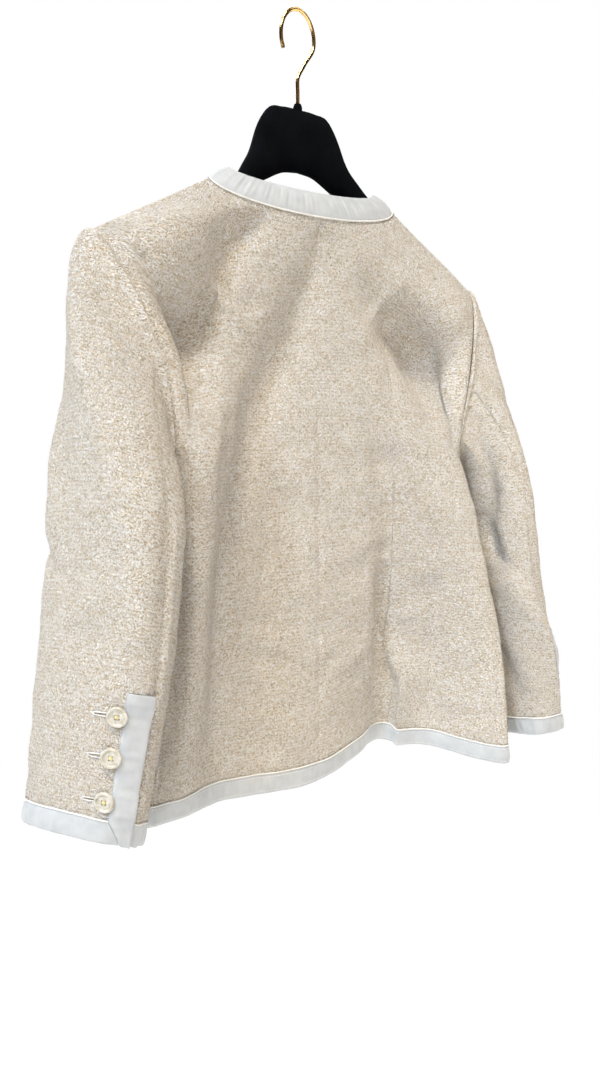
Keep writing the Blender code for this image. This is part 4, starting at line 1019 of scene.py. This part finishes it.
def stitchTree(surface):
    tree = bpy.data.node_groups.new("stitchRow", "GeometryNodeTree")
    # the geometry's input has to come first
    for name, kind in {"Geometry": "NodeSocketGeometry", **stitchInputs}.items():
        tree.interface.new_socket(name=name, in_out="INPUT", socket_type=kind)
    tree.interface.new_socket(name="Geometry", in_out="OUTPUT", socket_type="NodeSocketGeometry")
    given = addNode(tree, "NodeGroupInput").outputs
    line = addNode(tree, "GeometryNodeMeshToCurve", {"Mesh": given["Geometry"]})
    places = addNode(tree, "GeometryNodeResampleCurve", {"Curve": line, "Length": given["Spacing"]}, mode="LENGTH")
    way = addNode(tree, "GeometryNodeInputNamedAttribute", {"Name": "way"}, data_type="FLOAT_VECTOR")
    turn = addNode(tree, "FunctionNodeAlignRotationToVector", {"Vector": way}, axis="X")
    shape = addNode(tree, "GeometryNodeMeshIcoSphere", {"Radius": 0.5, "Subdivisions": 1})
    uneven = addNode(tree, "FunctionNodeRandomValue", {2: 0.8, 3: 1.15, "Seed": given["Seed"]}, data_type="FLOAT")
    long = addNode(tree, "Math", {0: given["Stitch Length"], 1: uneven.outputs[1]}, operation="MULTIPLY")
    size = addNode(tree, "CombineXYZ", {0: long, 1: given["Stitch Width"], 2: given["Stitch Width"]})
    copies = addNode(tree, "GeometryNodeInstanceOnPoints", {
        "Points": places, "Instance": shape, "Rotation": turn, "Scale": size})
    real = addNode(tree, "GeometryNodeRealizeInstances", {"Geometry": copies})
    finished = addNode(tree, "GeometryNodeSetMaterial", {"Geometry": real, "Material": surface})
    addNode(tree, "NodeGroupOutput", {"Geometry": finished})
    return tree


def sewStitches(name, lines, tree, look):
    # lines are (points, directions that the stitches lie in)
    starts = np.cumsum([0] + [len(line) for line, way in lines])
    edges = [(start + k, start + k + 1) for (line, way), start in zip(lines, starts) for k in range(len(line) - 1)]
    data = bpy.data.meshes.new(name + "Line")
    data.from_pydata(np.concatenate([line for line, way in lines]).tolist(), edges, [])
    ways = np.concatenate([way for line, way in lines]).astype(np.float32).ravel()
    data.attributes.new("way", "FLOAT_VECTOR", "POINT").data.foreach_set("vector", ways)
    base = addObject(name + "Line", data)
    modifier = base.modifiers.new("stitches", "NODES")
    modifier.node_group = tree
    values = dict(zip(stitchInputs, stitchLook[look]))
    for item in tree.interface.items_tree:
        if item.in_out == "INPUT" and item.name in values:
            modifier[item.identifier] = values[item.name]
    made = bpy.data.meshes.new_from_object(base.evaluated_get(bpy.context.evaluated_depsgraph_get()))
    base.modifiers.clear()
    bpy.data.objects.remove(base, do_unlink=True)
    made.name = name
    made.shade_smooth()
    piece = addObject(name, made)
    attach(piece, "root")


def alongLine(line):
    return unit(np.gradient(line, axis=0))


whiteStitch, slitShadeStitch = stitchTree(whiteThread), stitchTree(paintedShadeThread)
points, outward, height = hemBand
rows = [points[row] + outward[row] * (height[row] + stitchStand["hem"])[:, None] for row in (3, 9)]
sewStitches("hemTopstitch", [(row, alongLine(row)) for row in rows], whiteStitch, "hem")
for side, (points, outward, height) in ventBands.items():
    # small bites over the tape's edge hold it to the sleeve
    edge, within, away = points[0, :bandLook["ventRows"]], points[2, :bandLook["ventRows"]], outward[0]
    line = edge + away[:len(edge)] * stitchStand["vent"]
    sewStitches(f"ventStitches_{side}", [(line, unit(within - edge))], whiteStitch, "vent")
print("stitches made")


# Buttons and buttonholes
buttonLook = {
    "stand": 0.0005, "heights": (0.035, 0.0715, 0.1045), "fromBand": 0.0050,
    "holeRadius": 0.00085, "holeCircle": 0.0019, "threadRadius": 0.00028, "shankRadius": 0.0011,
    # the threads' distance from the line between two holes, their height at the ends and in the middle,
    # and how much higher each is than the last
    "threadBeside": 0.00022, "threadRise": (0.0010, 0.00135, 0.00012),
    # radius and height of the turned face in mm, from the middle to the rim, then the back
    "profile": [(0, 2.1), (3.6, 2.1), (4.1, 2.15), (4.7, 2), (5.2, 1.9), (5.8, 2), (6.2, 2.5), (6.6, 2.9), (7.1, 3),
                (7.7, 2.9), (8.1, 2.5), (8.4, 1.9), (8.4, 1.3), (8, 0.8), (7.1, 0.3), (6, 0), (0, 0)],
    # a buttonhole's length, width and start under the button, and the ends of the slit in it
    "holeLong": 0.0185, "holeWide": 0.0027, "holeStart": 0.0020, "slitEnds": (0.0040, 0.0017), "segments": 64,
}
buttonShare = ventEdge - buttonLook["fromBand"] / sleeveGirth


def turnedMesh(profile, segments):
    mesh, rings = bmesh.new(), []
    for radius, z in profile:
        around = [2 * math.pi * k / segments for k in range(segments if radius else 1)]
        rings.append([mesh.verts.new((radius * math.cos(a), radius * math.sin(a), z)) for a in around])
    for upper, lower in zip(rings, rings[1:]):
        for k in range(segments):
            corners = [ring[n % len(ring)] for ring, n in ((upper, k), (upper, k + 1), (lower, k + 1), (lower, k))]
            mesh.faces.new(list(dict.fromkeys(corners)))
    bmesh.ops.recalc_face_normals(mesh, faces=mesh.faces)
    return mesh


def meshObject(name, mesh, surfaces, sharp=40):
    data = bpy.data.meshes.new(name)
    mesh.to_mesh(data)
    mesh.free()
    return finishObject(name, data, surfaces, sharp)


def drilledButton():
    # one button at the origin, face up, with four holes and its thread: the rest are copies of it
    look = buttonLook
    profile = [(radius / 1000, z / 1000) for radius, z in look["profile"]]
    disc = meshObject("buttonDisc", turnedMesh(profile, look["segments"]), [castResin])
    drills = bmesh.new()
    angles = [math.pi / 4 + k * math.pi / 2 for k in range(4)]
    places = [(look["holeCircle"] * math.cos(angle), look["holeCircle"] * math.sin(angle)) for angle in angles]
    for place in places:
        bmesh.ops.create_cone(drills, cap_ends=True, segments=20, radius1=look["holeRadius"],
                              radius2=look["holeRadius"], depth=0.008, matrix=Matrix.Translation((*place, 0.001)))
    cutter = meshObject("buttonDrills", drills, [castResin])
    cut = disc.modifiers.new("holes", "BOOLEAN")
    cut.object, cut.operation, cut.solver = cutter, "DIFFERENCE", "EXACT"
    made = bpy.data.meshes.new_from_object(disc.evaluated_get(bpy.context.evaluated_depsgraph_get()))
    disc.modifiers.clear()
    for used in (disc, cutter):
        bpy.data.objects.remove(used, do_unlink=True)
    corners = np.array([corner.co[:] for corner in made.vertices])
    parts = [(corners, [list(face.vertices) for face in made.polygons], np.zeros((len(corners), 2)), 0)]
    way, (low, rise, step) = np.linspace(0, 1, 11), look["threadRise"]
    for k, (first, second, side) in enumerate(((0, 2, 1), (1, 3, 1), (0, 2, -1), (1, 3, -1))):
        start, end = np.array(places[first]), np.array(places[second])
        beside = unit(np.array([start[1] - end[1], end[0] - start[0]])) * look["threadBeside"] * side
        height = low + rise * np.sin(np.pi * way) ** 0.35 + step * k
        line = np.c_[mix(start, end, way[:, None]) + beside, height]
        parts.append(cordAlong(line, np.tile([0.0, 0.0, 1.0], (11, 1)), look["threadRadius"]))
    # the thread's shank between the button and the sleeve
    post = np.stack([np.zeros(4), np.zeros(4), np.linspace(-0.0005, 0.0004, 4)], 1)
    return parts + [cordAlong(post, np.tile([0.0, 1.0, 0.0], (4, 1)), look["shankRadius"], sides=10)]


def placeButton(name, side, height, parts):
    points, outward = clothGrid(sleeveBase, side, buttonShare, cuffDown(side, np.array([[buttonShare]]), height))
    normal = outward[0, 0]
    right = unit(np.cross([0, 0, 1], normal))
    turn = np.stack([right, np.cross(normal, right), normal])
    seat = points[0, 0] + normal * buttonLook["stand"]
    turned = [(vertices @ turn + seat, *rest) for vertices, *rest in parts]
    settle(buildMesh(name, turned, [castResin, goldThread], 35), name)


def lineOnSleeve(side, along, heights, stand):
    # a line on the sleeve, at distances from the buttons and heights above the cuff's edge
    shares = buttonShare + along[None] / sleeveGirth
    points, outward = clothGrid(sleeveBase, side, shares, cuffDown(side, shares, heights))
    return points[0] + outward[0] * stand, outward[0]


button = drilledButton()
angles = np.linspace(0, 2 * np.pi, 65)
half, wide, (slitStart, slitEnd) = buttonLook["holeLong"] / 2, buttonLook["holeWide"] / 2, buttonLook["slitEnds"]
for side in sideSign:
    loops, slits = [], []
    for number, height in enumerate(buttonLook["heights"], 1):
        placeButton(f"button_{side}_{number}", side, height, button)
        # a corded buttonhole runs from under the button towards the outside of the sleeve
        along = -half - buttonLook["holeStart"] + half * bulge(np.cos(angles), 0.6)
        line, outward = lineOnSleeve(side, along, height + wide * np.sin(angles)[None], stitchStand["buttonhole"])
        loops.append((line, unit(np.cross(outward, alongLine(line)))))
        # a dark line along each slit: painted shade in its opening
        along = np.linspace(-slitEnd - 2 * half, -slitStart, 24)
        line = lineOnSleeve(side, along, height, stitchStand["slit"])[0]
        slits.append((line, alongLine(line)))
    sewStitches(f"buttonholes_{side}", loops, whiteStitch, "buttonhole")
    sewStitches(f"buttonSlits_{side}", slits, slitShadeStitch, "slit")
print("buttons made")


# Hanger
hangerLook = {
    # in mm: x, top, bottom, half depth
    "head": [(0, -84.5, -140, 9), (18, -85, -142.5, 9.2), (34, -89.5, -150, 9.6),
             (43, -103, -155, 9.6), (51, -123, -161, 9.2), (64, -142, -174, 8.4)],
    # from the root of an arm to its tip
    "arm": (0.082, 0.193), "armHeight": (0.036, 0.026), "armDepth": (0.0076, 0.0112), "clear": (0.0100, 0.0012),
    "lean": 0.0120, "leanStart": 0.040, "evenTo": 0.180, "tipRound": 0.010, "flatness": 0.86, "sides": 44,
    "wire": 0.00175, "hookWide": 0.0185, "hookTall": 0.0240, "straightTop": -0.058, "hookBend": (-0.0075, -0.0440),
    "collar": (0.0042, 0.0052, 0.0040),      # radius, height and depth let in
    "collarEdge": [(0.62, 0), (0.78, 0.0004), (0.86, 0.0016), (1, 0.0030)],      # share of the radius, drop
}


def makeHanger():
    look, sides, rings = hangerLook, hangerLook["sides"], []
    neckX, neckZ, tipX = bodyCut["neckSeam"][0], bodyCut["neckSeam"][2], bodyCut["tip"][0]
    tipStart = look["arm"][1] - look["tipRound"]
    bulb = tipStart + look["tipRound"] * np.sin(np.linspace(0, np.pi / 2, 12))
    xs = np.concatenate([np.linspace(0, look["evenTo"], 70), bulb])
    head = np.array(look["head"]) / 1000
    angles = np.linspace(0, 2 * np.pi, sides, endpoint=False)
    for side in ("right", "left"):
        rows = list(head)
        for way in np.linspace(0, 1, 8):
            x, tall, depth, clear = (mix(*look[name], way) for name in ("arm", "armHeight", "armDepth", "clear"))
            top = mix(neckZ, bodyCut["tipZ"][side], (x - neckX) / (tipX - neckX)) - cloth["wall"] - clear
            rows.append((x, top, top - tall, depth))
        made = []
        for x, (top, bottom, depth) in zip(xs, rowsAt(rows, xs)):
            shrink = math.sqrt(max(1 - max((x - tipStart) / (look["tipRound"] + 0.0001), 0) ** 2, 0.0))
            lean = look["lean"] * float(ease((x - look["leanStart"]) / (look["arm"][0] - look["leanStart"])))
            y = depth * shrink * bulge(np.cos(angles), look["flatness"]) + lean
            z = (top + bottom) / 2 + (top - bottom) / 2 * shrink * bulge(np.sin(angles), look["flatness"])
            made.append(np.stack([np.full(sides, sideSign[side] * x), y, z], 1))
        rings += made[::-1] if side == "right" else made[1:]
    mesh = bmesh.new()
    placed = [[mesh.verts.new(point) for point in ring] for ring in rings]
    for first, second in zip(placed, placed[1:]):
        for k in range(sides):
            n = (k + 1) % sides
            mesh.faces.new([first[k], first[n], second[n], second[k]])
    mesh.faces.new(placed[0])
    mesh.faces.new(placed[-1])
    radius, tall, sunk = look["collar"]
    low, high = head[0, 1] - sunk, head[0, 1] + tall
    edge = [(radius * share, high - drop) for share, drop in look["collarEdge"]]
    collar = turnedMesh([(0, high), *edge, (radius, low), (0, low)], 32)
    data = bpy.data.meshes.new("collar")
    collar.to_mesh(data)
    collar.free()
    mesh.from_mesh(data)
    bpy.data.meshes.remove(data)
    bmesh.ops.recalc_face_normals(mesh, faces=mesh.faces)
    settle(meshObject("flockedHanger", mesh, [blackFlock], 60), "hanger_body")
    return high + cloth["seamGap"]


def makeHook(low):
    radius, wide, tall, top = (hangerLook[name] for name in ("wire", "hookWide", "hookTall", "straightTop"))
    route = [(0.0, low), (0.0, (low + top) / 2), (0.0, top), hangerLook["hookBend"]]
    for angle in np.radians(range(190, -31, -20)):
        route.append((wide * math.cos(angle), radius - tall + tall * math.sin(angle)))
    knots = runOf(np.array(route))
    x, z = smoothAt(knots, route, np.linspace(0, knots[-1], 180)).T
    line, outward = np.stack([x, np.zeros(180), z], 1), np.tile([0.0, 1.0, 0.0], (180, 1))
    wire = cordAlong(line, outward, radius, sides=20, number=0)
    settle(buildMesh("wireHook", [wire], [platedWire]), "hanger_hook")


makeHook(makeHanger())
print("hanger made")


# Camera, light and stage. Bearings run from the wearer's left, in degrees
view = {"place": (0.4862, 0.6727, -0.3589), "bearing": 53.99, "height": 8.30, "lens": 28.535}
suns = {    # bearing, height, strength, angle it fills, colour
    "window": (20.0, 45.0, 1.55, 9.0, "#d4e6ff"),
    "side": (-20.0, 45.0, 0.74, 20.0, "#deebff"),
    "back": (58.0, 45.0, 0.80, 12.0, "#fffbf2"),
    "ceiling": (45.0, 68.0, 2.70, 14.0, "#fff3de"),
    "room": (100.0, 4.0, 0.20, 40.0, "#ffae70"),
    "far": (134.0, 45.0, 0.40, 24.0, "#fff8f0"),
    "front": (-115.0, 35.0, 1.70, 40.0, "#fffaf4"),
}
stage = {"floorZ": -1.65, "radius": 14.0, "near": 0.3, "far": 2.4, "nearGlow": 0.6, "sky": 0.04}


def lookingFrom(bearing, height):
    # turned to look at the jacket from a bearing and a height in degrees
    bearing, height = math.radians(bearing), math.radians(height)
    away = np.array([math.cos(bearing) * math.cos(height), math.sin(bearing) * math.cos(height), math.sin(height)])
    right = unit(np.cross([0, 0, 1], away))
    return Matrix((right, np.cross(away, right), away)).transposed().to_4x4()


def makeCamera():
    data = bpy.data.cameras.new("camera")
    data.lens, data.sensor_width, data.sensor_fit = view["lens"], 36.0, "AUTO"
    data.clip_start, data.clip_end = 0.01, 100.0
    camera = addObject("camera", data)
    camera.matrix_world = Matrix.Translation(view["place"]) @ lookingFrom(view["bearing"], view["height"])
    bpy.context.scene.camera = camera


def makeLights():
    for name, (bearing, height, strength, wide, colour) in suns.items():
        data = bpy.data.lights.new(name, "SUN")
        data.energy, data.angle, data.color = strength, math.radians(wide), hexColour(colour)[:3]
        addObject(name, data).matrix_world = lookingFrom(bearing, height)


def makeStage():
    # a pale floor that is as bright as the studio's white surround, more so towards its rim
    made, tree, shader = startMaterial("paintedFloor")
    setInputs(shader, {"Base Color": hexColour("#f4f4f3"), "Roughness": 0.9, "Specular IOR Level": 0.1})
    place = addNode(tree, "TexCoord").outputs["Object"]
    flat = addNode(tree, "VectorMath", {0: place, 1: (1, 1, 0)}, operation="MULTIPLY")
    reach = addNode(tree, "VectorMath", {0: flat}, operation="LENGTH").outputs["Value"]
    far = addNode(tree, "MapRange", {"Value": reach, "From Min": stage["near"], "From Max": stage["far"],
                                     "To Min": stage["nearGlow"]}, interpolation_type="SMOOTHSTEP")
    seen = addNode(tree, "LightPath").outputs["Is Camera Ray"]
    share = addNode(tree, "Math", {0: far, 1: seen}, operation="MULTIPLY")
    glow = addNode(tree, "Emission", {"Color": (1, 1, 1, 1), "Strength": 1.0})
    blend = addNode(tree, "MixShader", {0: share, 1: shader, 2: glow})
    setInputs(tree.nodes["Material Output"], {"Surface": blend})
    mesh = bmesh.new()
    bmesh.ops.create_circle(mesh, cap_ends=True, radius=stage["radius"], segments=96,
                            matrix=Matrix.Translation((0, 0, stage["floorZ"])))
    meshObject("paleFloor", mesh, [made])
    # white all round: seen at full brightness, while it lights the cloth more dimly
    world = bpy.data.worlds.new("studio")
    bpy.context.scene.world = world
    world.use_nodes = True
    tree = world.node_tree
    seen = addNode(tree, "LightPath").outputs["Is Camera Ray"]
    white = addNode(tree, "Background", {"Color": (1, 1, 1, 1), "Strength": 1.0})
    soft = tree.nodes["Background"]
    setInputs(soft, {"Color": hexColour("#fbfaf8"), "Strength": stage["sky"]})
    both = addNode(tree, "MixShader", {0: seen, 1: soft, 2: white})
    setInputs(tree.nodes["World Output"], {"Surface": both})
    bpy.context.scene.view_settings.view_transform = "Standard"


makeCamera()
makeLights()
makeStage()
print("camera, light and stage made")
